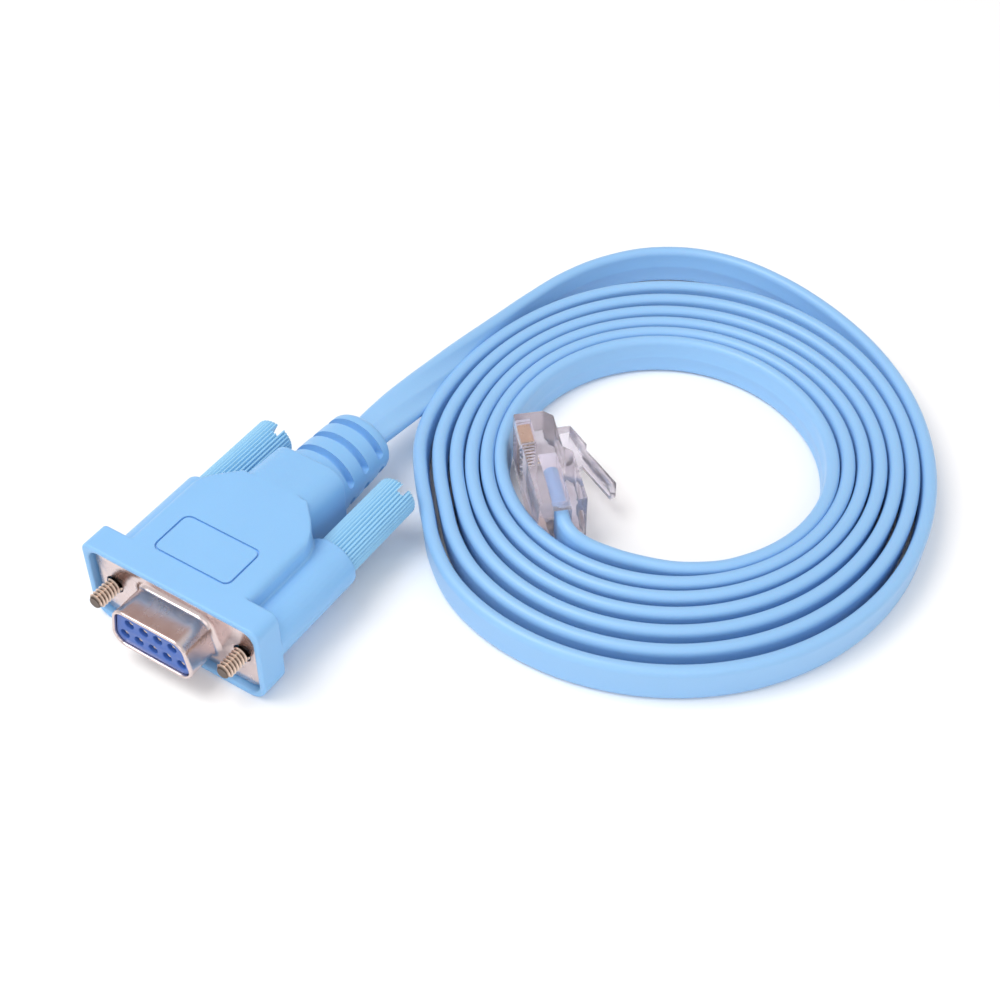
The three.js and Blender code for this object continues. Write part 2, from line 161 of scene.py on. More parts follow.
def loft(rings: Sequence[Ring], ending: Ending = Ending.CAPPED) -> tuple[Ring, list[list[int]]]:
    """Joins rings of equal length by quads.

    Args:
        rings: each ring's points, all with the same count and in the same order.
        ending: whether the ends are capped, or joined to each other.

    Returns:
        The points and the faces.
    """
    count = len(rings[0])
    points = [p for ring in rings for p in ring]
    faces = []
    spans = len(rings) if ending is Ending.JOINED else len(rings) - 1
    for r in range(spans):
        a, b = r * count, ((r + 1) % len(rings)) * count
        for i in range(count):
            j = (i + 1) % count
            faces.append([a + i, a + j, b + j, b + i])
    if ending is Ending.CAPPED:
        last = (len(rings) - 1) * count
        faces.append(list(range(count))[::-1])
        faces.append([last + i for i in range(count)])
    return points, faces


def turned(profile: Sequence[tuple[float, float]], centre: Vector, sides: int) -> tuple[Ring, list[list[int]]]:
    """Turns a profile of (radius, y) pairs about a line along Y through a centre.

    Args:
        profile: the outline, from one end to the other.
        centre: a point on the line; the profile's y counts from it.
        sides: how many facets the turning has.

    Returns:
        The points and the faces, capped at both ends.
    """
    rings = []
    for radius, y in profile:
        rings.append([
            centre + Vector((radius * math.cos(a), y, radius * math.sin(a)))
            for a in (2 * math.pi * i / sides for i in range(sides))
        ])
    return loft(rings)


def rounded_rectangle(width: float, height: float, top: float, low: float, steps: int = 8) -> list[tuple[float, float]]:
    """The outline of a rectangle with round corners, counter-clockwise.

    Args:
        width: size along the first axis.
        height: size along the second axis.
        top: radius of the two upper corners.
        low: radius of the two lower corners.
        steps: segments in each corner.

    Returns:
        The outline's points.
    """
    corners = [
        (width / 2 - low, -height / 2 + low, low, -90),
        (width / 2 - top, height / 2 - top, top, 0),
        (-width / 2 + top, height / 2 - top, top, 90),
        (-width / 2 + low, -height / 2 + low, low, 180),
    ]
    outline = []
    for x, y, radius, start in corners:
        for i in range(steps + 1):
            a = math.radians(start + 90 * i / steps)
            outline.append((x + radius * math.cos(a), y + radius * math.sin(a)))
    return outline


def flat_plate(name: str, outlines: Sequence[Sequence[tuple[float, float]]], front: float, back: float,
               edge: float, place: Callable[[Vector], Vector]) -> bpy.types.Object:
    """A plate with holes and rounded edges, from flat outlines.

    Args:
        name: the object's name.
        outlines: the outer outline and the holes, in the plane's own two axes.
        front: the plate's first level along its third axis.
        back: its second level.
        edge: radius of its edges.
        place: moves a point (across, up, level) into the part's frame.

    Returns:
        The plate as a mesh object.
    """
    curve = bpy.data.curves.new(name, "CURVE")
    curve.dimensions = "2D"
    curve.fill_mode = "BOTH"
    curve.extrude = (back - front) / 2 - edge
    curve.bevel_depth = edge
    curve.bevel_resolution = 2
    curve.offset = -edge
    for outline in outlines:
        spline = curve.splines.new("POLY")
        spline.points.add(len(outline) - 1)
        for point, (x, y) in zip(spline.points, outline):
            point.co = (x, y, 0, 1)
        spline.use_cyclic_u = True
    source = bpy.data.objects.new(name + "_outline", curve)
    bpy.context.scene.collection.objects.link(source)
    ready = source.evaluated_get(bpy.context.evaluated_depsgraph_get())
    mesh = bpy.data.meshes.new_from_object(ready)
    middle = (front + back) / 2
    for vertex in mesh.vertices:
        x, y, level = vertex.co
        vertex.co = place(Vector((x, y, level + middle))) * MM
    bpy.data.objects.remove(source)
    piece = bpy.data.objects.new(name, mesh)
    bpy.context.scene.collection.objects.link(piece)
    tidy_mesh(piece)
    return piece


def facing(point: Vector) -> Vector:
    """Carries a connector point (across, up, depth from the flange's front) into the part's frame."""
    return CONNECTOR + Vector((point.x, point.z, point.y))


def copied(node: str, name: str) -> bpy.types.Object:
    """A merged copy of a CAD node's mesh as an object of its own."""
    piece = bpy.data.objects.new(name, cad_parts[node].data.copy())
    bpy.context.scene.collection.objects.link(piece)
    piece.data.materials.clear()
    tidy_mesh(piece, turn_outwards=False)
    return piece


def deliver(piece: bpy.types.Object, body: str, replaces: Sequence[str] = ()) -> bpy.types.Object:
    """Hands a finished piece to the frame.

    Args:
        piece: the finished object.
        body: the CAD body that carries it.
        replaces: CAD nodes that it stands for.

    Returns:
        The same object.
    """
    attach(piece, body)
    if replaces:
        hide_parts(*replaces)
    log.info("%s: %d faces on %s", piece.name, len(piece.data.polygons), body)
    return piece


# Node helpers


class Graph:
    """A node tree under construction, with sockets linked or set in one call."""

    def __init__(self, tree: bpy.types.NodeTree) -> None:
        """Keeps the tree."""
        self.tree = tree

    def add(self, kind: str, inputs: dict[str | int, object] | None = None, **settings: object) -> bpy.types.Node:
        """Adds a node.

        Args:
            kind: the node's type.
            inputs: for each input, a socket to link from or a value to set.
            settings: properties of the node.

        Returns:
            The node.
        """
        node = self.tree.nodes.new(kind)
        for name, value in settings.items():
            setattr(node, name, value)
        for key, value in (inputs or {}).items():
            if isinstance(value, bpy.types.NodeSocket):
                self.tree.links.new(value, node.inputs[key])
            else:
                node.inputs[key].default_value = value
        return node

    def math(self, operation: str, a: object, b: object = 0.0, clamp: bool = False) -> bpy.types.NodeSocket:
        """One step of arithmetic on sockets or numbers."""
        node = self.add("ShaderNodeMath", {0: a, 1: b}, operation=operation, use_clamp=clamp)
        return node.outputs[0]

    def group(self, tree: bpy.types.NodeTree, inputs: dict[str, object]) -> bpy.types.Node:
        """Places a shader node group with its values."""
        return self.add("ShaderNodeGroup", inputs, node_tree=tree)

    def socket(self, name: str, kind: str, value: object = None, output: bool = False) -> None:
        """Adds a named socket to the tree's interface."""
        made = self.tree.interface.new_socket(name, in_out="OUTPUT" if output else "INPUT", socket_type=kind)
        if value is not None:
            made.default_value = value


def run_geometry(piece: bpy.types.Object, tree: bpy.types.NodeTree, values: dict[str, object]) -> bpy.types.Object:
    """Runs a Geometry Nodes tree on a piece and keeps the result as plain mesh.

    Args:
        piece: the object that carries the modifier.
        tree: the node tree.
        values: its inputs by name.

    Returns:
        The piece, without the modifier.
    """
    modifier = piece.modifiers.new(tree.name, "NODES")
    modifier.node_group = tree
    for item in tree.interface.items_tree:
        if item.in_out == "INPUT" and item.name in values:
            modifier[item.identifier] = values[item.name]
    return baked(piece)


# Finishes


def surface_group() -> bpy.types.NodeTree:
    """The shader group for a moulded or drawn surface: slight mottling, uneven gloss and a grain."""
    found = bpy.data.node_groups.get("uneven_surface")
    if found:
        return found
    tree = bpy.data.node_groups.new("uneven_surface", "ShaderNodeTree")
    g = Graph(tree)
    g.socket("Position", "NodeSocketVector")
    g.socket("Colour", "NodeSocketColor", (0.5, 0.5, 0.5, 1))
    g.socket("Mottle", "NodeSocketFloat", 0.05)
    g.socket("Mottle Scale", "NodeSocketFloat", 120.0)
    g.socket("Roughness", "NodeSocketFloat", 0.4)
    g.socket("Gloss Spread", "NodeSocketFloat", 0.1)
    g.socket("Grain Scale", "NodeSocketFloat", 3000.0)
    g.socket("Colour", "NodeSocketColor", output=True)
    g.socket("Roughness", "NodeSocketFloat", output=True)
    g.socket("Grain", "NodeSocketFloat", output=True)
    given = g.add("NodeGroupInput").outputs
    broad = g.add("ShaderNodeTexNoise", {"Vector": given["Position"], "Scale": given["Mottle Scale"], "Detail": 3.0})
    fine = g.add("ShaderNodeTexNoise", {"Vector": given["Position"], "Scale": given["Grain Scale"], "Detail": 2.0})
    swing = g.math("SUBTRACT", broad.outputs["Fac"], 0.5)
    shade = g.math("MULTIPLY_ADD", swing, given["Mottle"])
    shade.node.inputs[2].default_value = 1.0
    tint = g.add("ShaderNodeVectorMath", {0: given["Colour"], 3: shade}, operation="SCALE")
    gloss = g.math("MULTIPLY", swing, given["Gloss Spread"])
    rough = g.math("ADD", gloss, given["Roughness"], clamp=True)
    g.add("NodeGroupOutput", {"Colour": tint.outputs[0], "Roughness": rough, "Grain": fine.outputs["Fac"]})
    return tree


@dataclass(frozen=True)
class Finish:
    """A surface finish with slight unevenness.

    Attributes:
        name: the material's name.
        colour: linear base colour.
        roughness: middle roughness.
        metallic: 1 for metal.
        mottle: how much the colour wanders.
        mottle_scale: its patches per metre.
        gloss_spread: how much the roughness wanders.
        grain_scale: grains per metre.
        grain_depth: the bump's height in metres.
        coat: weight of a thin clear gloss.
        soft: weight of light scattered under the surface.
    """

    name: str
    colour: tuple[float, float, float]
    roughness: float = 0.4
    metallic: float = 0.0
    mottle: float = 0.06
    mottle_scale: float = 120.0
    gloss_spread: float = 0.12
    grain_scale: float = 3000.0
    grain_depth: float = 0.00002
    coat: float = 0.0
    soft: float = 0.0

    def make(self) -> bpy.types.Material:
        """Builds the material.

        Returns:
            The material, or the one already built under this name.
        """
        found = bpy.data.materials.get(self.name)
        if found:
            return found
        material = bpy.data.materials.new(self.name)
        material.use_nodes = True
        g = Graph(material.node_tree)
        shader = material.node_tree.nodes["Principled BSDF"]
        position = g.add("ShaderNodeTexCoord").outputs["Object"]
        surface = g.group(surface_group(), {
            "Position": position, "Colour": (*self.colour, 1), "Mottle": self.mottle,
            "Mottle Scale": self.mottle_scale, "Roughness": self.roughness,
            "Gloss Spread": self.gloss_spread, "Grain Scale": self.grain_scale,
        })
        bump = g.add("ShaderNodeBump", {
            "Height": surface.outputs["Grain"], "Distance": self.grain_depth, "Strength": 0.6,
        })
        links = material.node_tree.links
        links.new(surface.outputs["Colour"], shader.inputs["Base Color"])
        links.new(surface.outputs["Roughness"], shader.inputs["Roughness"])
        links.new(bump.outputs[0], shader.inputs["Normal"])
        shader.inputs["Metallic"].default_value = self.metallic
        shader.inputs["Coat Weight"].default_value = self.coat
        shader.inputs["Coat Roughness"].default_value = 0.15
        shader.inputs["Subsurface Weight"].default_value = self.soft
        shader.inputs["Subsurface Scale"].default_value = 0.002
        self.detail(g, shader, surface, bump)
        return material

    def detail(self, g: Graph, shader: bpy.types.Node, surface: bpy.types.Node, bump: bpy.types.Node) -> None:
        """Adds what one kind of finish has beyond the rest; plain finishes add nothing."""


@dataclass(frozen=True)
class CableJacket(Finish):
    """The flat cable's vinyl: faint drawing lines along its length, read from its own map.

    Attributes:
        lines: how many lines go round it.
        line_depth: their height in metres.
    """

    lines: float = 34.0
    line_depth: float = 0.00003

    def detail(self, g: Graph, shader: bpy.types.Node, surface: bpy.types.Node, bump: bpy.types.Node) -> None:
        """Adds the drawing lines to the bump.

        Args:
            g: the material's graph.
            shader: its shader.
            surface: the unevenness group.
            bump: the grain's bump node.
        """
        along = g.add("ShaderNodeUVMap", uv_map="along")
        stretch = g.add("ShaderNodeMapping", {"Vector": along.outputs[0], "Scale": (0.6, self.lines, 1.0)})
        streaks = g.add("ShaderNodeTexNoise", {"Vector": stretch.outputs[0], "Scale": 1.0, "Detail": 2.0})
        lines = g.add("ShaderNodeBump", {
            "Height": streaks.outputs["Fac"], "Distance": self.line_depth, "Strength": 0.5, "Normal": bump.outputs[0],
        })
        g.tree.links.new(lines.outputs[0], shader.inputs["Normal"])


@dataclass(frozen=True)
class ThreadedMetal(Finish):
    """Plated screw metal with painted shade darkening the grooves between the turns of its thread.

    Attributes:
        axis: the screws' distance from the middle and their height, in millimetres.
        groove: radius at the foot of the thread.
        crest: radius at its top.
        soot: share of the colour that the painted shade keeps at the foot of the thread.
    """

    axis: tuple[float, float] = (12.5, 7.8)
    groove: float = 1.1
    crest: float = 1.36
    # Painted shade: the share of the base colour left at the foot of the thread.
    soot: float = 0.16

    def detail(self, g: Graph, shader: bpy.types.Node, surface: bpy.types.Node, bump: bpy.types.Node) -> None:
        """Darkens the metal's colour near the foot of the thread with painted shade.

        Args:
            g: the material's graph.
            shader: its shader.
            surface: the unevenness group.
            bump: the grain's bump node.
        """
        place = g.add("ShaderNodeSeparateXYZ", {0: g.add("ShaderNodeTexCoord").outputs["Object"]})
        aside = g.math("SUBTRACT", g.math("ABSOLUTE", place.outputs[0]), self.axis[0] * MM)
        above = g.math("SUBTRACT", place.outputs[2], self.axis[1] * MM)
        square = g.math("ADD", g.math("MULTIPLY", aside, aside), g.math("MULTIPLY", above, above))
        # Painted shade in the thread's grooves: the colour is scaled down from the crest radius towards the groove
        # radius.
        groove_shade = g.add("ShaderNodeMapRange", {
            "Value": g.math("SQRT", square), "From Min": self.groove * MM, "From Max": self.crest * MM,
            "To Min": self.soot, "To Max": 1.0,
        })
        shade = g.add("ShaderNodeVectorMath", {0: surface.outputs["Colour"], 3: groove_shade.outputs["Result"]},
                      operation="SCALE")
        g.tree.links.new(shade.outputs[0], shader.inputs["Base Color"])


@dataclass(frozen=True)
class ClearPlastic:
    """Polycarbonate that one sees through.

    Attributes:
        name: the material's name.
        colour: linear colour of the light that it lets through.
        roughness: middle roughness.
        ior: how strongly it bends light.
        clarity: share of light that goes through it instead of being scattered at its surface.
    """

    name: str
    colour: tuple[float, float, float]
    roughness: float = 0.05
    ior: float = 1.52
    clarity: float = 1.0

    def make(self) -> bpy.types.Material:
        """Builds the material.

        Returns:
            The material, or the one already built under this name.
        """
        found = bpy.data.materials.get(self.name)
        if found:
            return found
        material = bpy.data.materials.new(self.name)
        material.use_nodes = True
        g = Graph(material.node_tree)
        shader = material.node_tree.nodes["Principled BSDF"]
        shader.inputs["Base Color"].default_value = (*self.colour, 1)
        shader.inputs["Transmission Weight"].default_value = self.clarity
        shader.inputs["IOR"].default_value = self.ior
        position = g.add("ShaderNodeTexCoord").outputs["Object"]
        surface = g.group(surface_group(), {
            "Position": position, "Colour": (*self.colour, 1), "Mottle": 0.0, "Mottle Scale": 260.0,
            "Roughness": self.roughness, "Gloss Spread": 0.06, "Grain Scale": 900.0,
        })
        bump = g.add("ShaderNodeBump", {"Height": surface.outputs["Grain"], "Distance": 0.00004, "Strength": 0.5})
        g.tree.links.new(surface.outputs["Roughness"], shader.inputs["Roughness"])
        g.tree.links.new(bump.outputs[0], shader.inputs["Normal"])
        return material


HOOD_VINYL = Finish("moulded_hood_vinyl", (0.238, 0.500, 0.835), 0.42, mottle=0.05, grain_scale=2600.0, soft=0.05)
KNOB_PLASTIC = Finish("knob_plastic", (0.320, 0.620, 0.860), 0.48, mottle=0.04, grain_scale=3200.0)
JACKET_VINYL = CableJacket("flat_cable_vinyl", (0.278, 0.525, 0.840), 0.36, mottle=0.05, mottle_scale=60.0, soft=0.05)
NICKEL = Finish("stamped_nickel", (0.72, 0.61, 0.60), 0.26, metallic=1.0, mottle=0.14, mottle_scale=420.0,
                gloss_spread=0.2, grain_depth=0.00001)
SCREW_METAL = ThreadedMetal("plated_screw_brass", (0.80, 0.62, 0.52), 0.24, metallic=1.0, mottle=0.2,
                            mottle_scale=700.0, gloss_spread=0.15)
INSULATOR_BLUE = Finish("royal_blue_insulator", (0.042, 0.125, 0.460), 0.38, mottle=0.05)
GOLD = Finish("gold_contact", (0.93, 0.72, 0.42), 0.26, metallic=1.0, mottle=0.12, mottle_scale=900.0)
CLEAR = ClearPlastic("clear_polycarbonate", (0.965, 0.925, 0.99), ior=1.24, clarity=0.9)
FLOOR_WHITE = Finish("studio_white", (0.98, 0.98, 0.98), 0.9, mottle=0.0, grain_depth=0.0)


# Connector


@dataclass
class Hood:
    """The moulded hood: flange, body, rear block, ears and ribbed strain relief, in one piece.

    Attributes:
        voxel: how finely the moulding is rebuilt, which also sets how soft its edges are.
        keep: share of the faces that stay after thinning.
        softening: smoothing passes.
        relief_start: width and height of the strain relief's oval where it leaves the block.
        relief_end: the same at its rear end.
        relief_span: where it starts and ends behind the flange's front.
        nose: radius of its rear edge.
        grooves: how many grooves it has above and below.
        first_groove: middle of the first one.
        pitch: between two grooves.
        groove: width and depth of a groove.
        web: half the height of the plain strip along each side.
        panel: width and length of the panel on top.
        panel_front: where it starts behind the flange's front.
        panel_corner: radius of its corners.
        line: width and depth of the line round it.
    """

    voxel: float = 0.18
    keep: float = 0.36
    softening: int = 5
    relief_start: tuple[float, float] = (12.8, 13.2)
    relief_end: tuple[float, float] = (11.8, 10.8)
    relief_span: tuple[float, float] = (32.2, 47.4)
    nose: float = 1.6
    grooves: int = 3
    first_groove: float = 36.0
    pitch: float = 4.1
    groove: tuple[float, float] = (1.5, 1.75)
    web: float = 1.2
    panel: tuple[float, float] = (14.9, 8.4)
    panel_front: float = 4.1
    panel_corner: float = 1.4
    line: tuple[float, float] = (0.36, 0.4)

    def oval(self, y: float, inset: float, turn: float) -> Vector:
        """A point on the relief's oval.

        Args:
            y: its place behind the flange's front.
            inset: how far it is drawn in.
            turn: its angle from +X towards +Z.

        Returns:
            The point in the part's frame.
        """
        start, end = self.relief_span
        taper = (y - start) / (end - start)
        past = max(0.0, (y - end + self.nose) / self.nose)
        shrink = inset + self.nose * (1 - math.sqrt(max(0.0, 1 - past * past)))
        across, up = (a / 2 + (b - a) / 2 * taper - shrink for a, b in zip(self.relief_start, self.relief_end))
        return CONNECTOR + Vector((across * math.cos(turn), y, up * math.sin(turn)))

    def smooth_relief(self) -> bpy.types.Object:
        """The relief without its grooves, on a fine oval."""
        start, end = self.relief_span
        straight = end - self.nose
        stations = [start + (straight - start) * i / 12 for i in range(13)]
        stations += [straight + self.nose * math.sin(math.radians(90 * i / 8)) for i in range(1, 9)]
        turns = [2 * math.pi * i / 96 for i in range(96)]
        return mesh_piece("smooth_relief", *loft([[self.oval(y, 0.0, a) for a in turns] for y in stations]))

    def panel_fill(self) -> bpy.types.Object:
        """A block that closes the CAD's panel line up to the top face."""
        width, length = self.panel[0] / 2 + 0.3, self.panel[1] + 0.3
        corners = ((-width, -0.3), (width, -0.3), (width, length), (-width, length))
        rings = [[CONNECTOR + Vector((x, self.panel_front + y, z)) for x, y in corners] for z in (6.0, CONNECTOR.z)]
        return mesh_piece("panel_fill", *loft(rings))

    def groove_cutter(self, number: int, above: bool) -> bpy.types.Object:
        """One groove with round ends, over or under the relief.

        Args:
            number: which groove, from the front.
            above: whether it is the upper one.

        Returns:
            The body that is cut away.
        """
        y, half, count = self.first_groove + number * self.pitch, self.groove[0] / 2, 44
        first = math.asin(2 * self.web / self.relief_start[1])
        arc = sum(self.relief_start) / 4
        rings = []
        for i in range(count + 1):
            turn = first + (math.pi - 2 * first) * (0.5 - 0.5 * math.cos(math.pi * i / count))
            left = max(0.0, 1 - min(turn - first, math.pi - first - turn) * arc / half)
            reach = half * math.sqrt(max(0.01, 1 - left * left))
            way = turn if above else -turn
            depths = ((-reach, -1.0), (-reach, self.groove[1] - 0.35), (-reach * 0.55, self.groove[1]),
                      (reach * 0.55, self.groove[1]), (reach, self.groove[1] - 0.35), (reach, -1.0))
            rings.append([self.oval(y + aside, inset, way) for aside, inset in depths])
        return mesh_piece(f"groove_{number}", *loft(rings))

    def line_cutter(self) -> bpy.types.Object:
        """The frame that leaves the line round the panel."""
        wide, deep = self.line
        outer = rounded_rectangle(*self.panel, self.panel_corner, self.panel_corner)
        inner = rounded_rectangle(self.panel[0] - 2 * wide, self.panel[1] - 2 * wide, self.panel_corner - wide,
                                  self.panel_corner - wide)
        middle = self.panel_front + self.panel[1] / 2
        return flat_plate("panel_line", [outer, inner], CONNECTOR.z - deep, CONNECTOR.z + 1, 0.0,
                          lambda p: CONNECTOR + Vector((p.x, middle + p.y, p.z)))

    def build(self) -> bpy.types.Object:
        """Rebuilds the CAD hood with soft moulded edges, then cuts its grooves and its panel line.

        Returns:
            The hood.
        """
        piece = merged("hood_moulding", [copied("hood", "hood_moulding"), self.smooth_relief(), self.panel_fill()])
        remesh = piece.modifiers.new("moulding", "REMESH")
        remesh.mode = "VOXEL"
        remesh.voxel_size = self.voxel * MM
        soften = piece.modifiers.new("soft_edges", "SMOOTH")
        soften.factor, soften.iterations = 0.5, self.softening
        thin = piece.modifiers.new("thinned", "DECIMATE")
        thin.ratio = self.keep
        cutters = [self.groove_cutter(n, above) for n in range(self.grooves) for above in (True, False)]
        cutter = merged("hood_cutter", [*cutters, self.line_cutter()])
        cut = piece.modifiers.new("grooves", "BOOLEAN")
        cut.operation, cut.object, cut.solver = "DIFFERENCE", cutter, "EXACT"
        baked(piece, crease=60)
        bpy.data.objects.remove(cutter)
        piece.data.materials.clear()
        piece.data.materials.append(HOOD_VINYL.make())
        return deliver(piece, "root", ["hood"])


@dataclass
class SocketShell:
    """The stamped metal shell: a flange with two screw holes, a collar, the D tube and its rolled lip.

    Attributes:
        plate: width and height of the flange.
        plate_corner: its corner radius.
        thick: its thickness.
        width: the tube's width at its wide, lower side.
        height: its height.
        slope: degrees that its sides lean in.
        corner: radius of its corners.
        wall: thickness of its wall.
        reach: how far it stands out of the flange.
        collar: radius where it rises from the flange.
        spacing: between the two screw holes.
        hole: diameter of the screw holes.
    """

    plate: tuple[float, float] = (31.0, 12.5)
    plate_corner: float = 1.8
    thick: float = 0.8
    width: float = 16.3
    height: float = 7.9
    slope: float = 10.0
    corner: float = 2.4
    wall: float = 0.45
    reach: float = 6.3
    collar: float = 0.9
    spacing: float = 25.0
    hole: float = 3.2

    def outline(self, inset: float, steps: int = 8) -> list[tuple[float, float]]:
        """The D outline moved inwards.

        Args:
            inset: distance inwards, or outwards if negative.
            steps: segments in each corner.

        Returns:
            Points (across, up), counter-clockwise.
        """
        lean = math.radians(self.slope)
        high = self.height / 2 - inset
        radius = self.corner - inset

        def centre(level: float) -> float:
            """How far aside a corner's middle lies at a level."""
            side = self.width / 2 - inset / math.cos(lean) - (level + self.height / 2) * math.tan(lean)
            return side - radius / math.cos(lean)

        low_x, high_x = centre(-high + radius), centre(high - radius)
        corners = [
            (low_x, -high + radius, -90.0, self.slope),
            (high_x, high - radius, self.slope, 90.0),
            (-high_x, high - radius, 90.0, 180.0 - self.slope),
            (-low_x, -high + radius, 180.0 - self.slope, 270.0),
        ]
        points = []
        for x, z, start, end in corners:
            for i in range(steps + 1):
                a = math.radians(start + (end - start) * i / steps)
                points.append((x + radius * math.cos(a), z + radius * math.sin(a)))
        return points

    def tube(self) -> bpy.types.Object:
        """The collar, tube and lip as one closed loft."""
        profile = []
        for i in range(7):
            a = math.radians(90 * i / 6)
            profile.append((-self.collar * (1 - math.sin(a)), -self.collar * (1 - math.cos(a))))
        half = self.wall / 2
        profile += [(0.0, -self.reach + 1.5), (-0.05, -self.reach + half + 0.45), (-0.08, -self.reach + half + 0.1)]
        for i in range(1, 8):
            a = math.radians(180 * i / 8)
            profile.append((half - half * math.cos(a) - 0.04 * (1 - i / 8), -self.reach + half - half * math.sin(a)))
        profile += [(self.wall, -self.reach + half + 0.2), (self.wall, self.thick), (-self.collar, self.thick)]
        rings = [[facing(Vector((x, z, y))) for x, z in self.outline(inset)] for inset, y in profile]
        points, faces = loft(rings, Ending.JOINED)
        return mesh_piece("socket_tube", points, faces, crease=50)

    def build(self) -> bpy.types.Object:
        """Builds the flange and the tube in one piece.

        Returns:
            The shell.
        """
        hole = [(self.hole / 2 * math.cos(2 * math.pi * i / 32), self.hole / 2 * math.sin(2 * math.pi * i / 32))
                for i in range(32)]
        outlines = [rounded_rectangle(*self.plate, self.plate_corner, self.plate_corner), self.outline(-0.5)]
        outlines += [[(x + side.value * self.spacing / 2, z) for x, z in hole] for side in Side]
        plate = flat_plate("socket_flange", outlines, 0.0, self.thick, 0.12, facing)
        piece = merged("socket_metal", [plate, self.tube()])
        piece.data.materials.clear()
        piece.data.materials.append(NICKEL.make())
        return deliver(piece, "root", ["socket_shell"])


def repeat_tree() -> bpy.types.NodeTree:
    """The Geometry Nodes tree that puts a copy of one mesh on each point."""
    tree = bpy.data.node_groups.new("repeat_on_points", "GeometryNodeTree")
    g = Graph(tree)
    g.socket("Geometry", "NodeSocketGeometry")
    g.socket("Repeated", "NodeSocketObject")
    g.socket("Size", "NodeSocketFloat", 1.0)
    g.socket("Finish", "NodeSocketMaterial")
    g.socket("Geometry", "NodeSocketGeometry", output=True)
    given = g.add("NodeGroupInput").outputs
    source = g.add("GeometryNodeObjectInfo", {"Object": given["Repeated"]})
    placed = g.add("GeometryNodeInstanceOnPoints", {
        "Points": given["Geometry"], "Instance": source.outputs["Geometry"], "Scale": given["Size"],
    })
    real = g.add("GeometryNodeRealizeInstances", {"Geometry": placed.outputs[0]})
    dressed = g.add("GeometryNodeSetMaterial", {"Geometry": real.outputs[0], "Material": given["Finish"]})
    g.add("NodeGroupOutput", {"Geometry": dressed.outputs[0]})
    return tree


def repeated(name: str, pattern: bpy.types.Object, places: Sequence[Vector],
             finish: bpy.types.Material) -> bpy.types.Object:
    """Repeats a pattern piece on a list of places.

    Args:
        name: the new piece's name.
        pattern: the mesh to repeat, drawn about the origin; it is removed.
        places: where each copy goes, in millimetres.
        finish: the material.

    Returns:
        One piece with all the copies.
    """
    mesh = bpy.data.meshes.new(name)
    mesh.from_pydata([tuple(p * MM) for p in places], [], [])
    piece = bpy.data.objects.new(name, mesh)
    bpy.context.scene.collection.objects.link(piece)
    tree = bpy.data.node_groups.get("repeat_on_points") or repeat_tree()
    run_geometry(piece, tree, {"Repeated": pattern, "Size": 1.0, "Finish": finish})
    bpy.data.objects.remove(pattern)
    return piece


@dataclass
class SocketFace:
    """The blue insulator with its nine holes and the gold sleeves inside them.

    Attributes:
        shell: the shell that it fills.
        recess: its face behind the shell's lip.
        rear: how far back it reaches behind the flange's front.
        pitch: between two holes of a row.
        row: between the two rows.
        hole: diameter of a hole.
        sleeve: diameter of a contact sleeve.
        bore: diameter of its opening.
        fit: clearance in the shell.
    """

    shell: SocketShell
    recess: float = 0.5
    rear: float = 5.6
    pitch: float = 2.77
    row: float = 2.84
    hole: float = 1.7
    sleeve: float = 1.3
    bore: float = 0.9
    fit: float = 0.08

    def places(self) -> list[tuple[float, float]]:
        """Middles of the nine holes: five in the long lower row and four in the upper one."""
        found = []
        for count, z in ((5, -self.row / 2), (4, self.row / 2)):
            found += [((i - (count - 1) / 2) * self.pitch, z) for i in range(count)]
        return found

    def build(self) -> list[bpy.types.Object]:
        """Builds the insulator and its sleeves.

        Returns:
            The two pieces.
        """
        front = self.recess - self.shell.reach
        round_hole = [(self.hole / 2 * math.cos(2 * math.pi * i / 28), self.hole / 2 * math.sin(2 * math.pi * i / 28))
                      for i in range(28)]
        outlines = [self.shell.outline(self.shell.wall + self.fit)]
        outlines += [[(x + cx, z + cz) for x, z in round_hole] for cx, cz in self.places()]
        block = flat_plate("insulator_block", outlines, front, self.rear, 0.14, facing)
        block.data.materials.clear()
        block.data.materials.append(INSULATOR_BLUE.make())
        deliver(block, "root", ["insulator"])
        outer, bore, mouth = self.sleeve / 2, self.bore / 2, front + 0.6
        rear = front + self.rear
        profile = [(0.0, rear - 1), (bore, rear - 1), (bore, mouth + 0.12), (bore + 0.08, mouth), (outer - 0.06, mouth),
                   (outer, mouth + 0.08), (outer, rear), (0.0, rear)]
        pattern = mesh_piece("sleeve_pattern", *turned(profile, Vector((0, 0, 0)), 16))
        places = [facing(Vector((x, z, 0.0))) for x, z in self.places()]
        sleeves = repeated("contact_sleeves", pattern, places, GOLD.make())
        deliver(sleeves, "root", [f"contact_{i}" for i in range(1, 10)])
        return [block, sleeves]


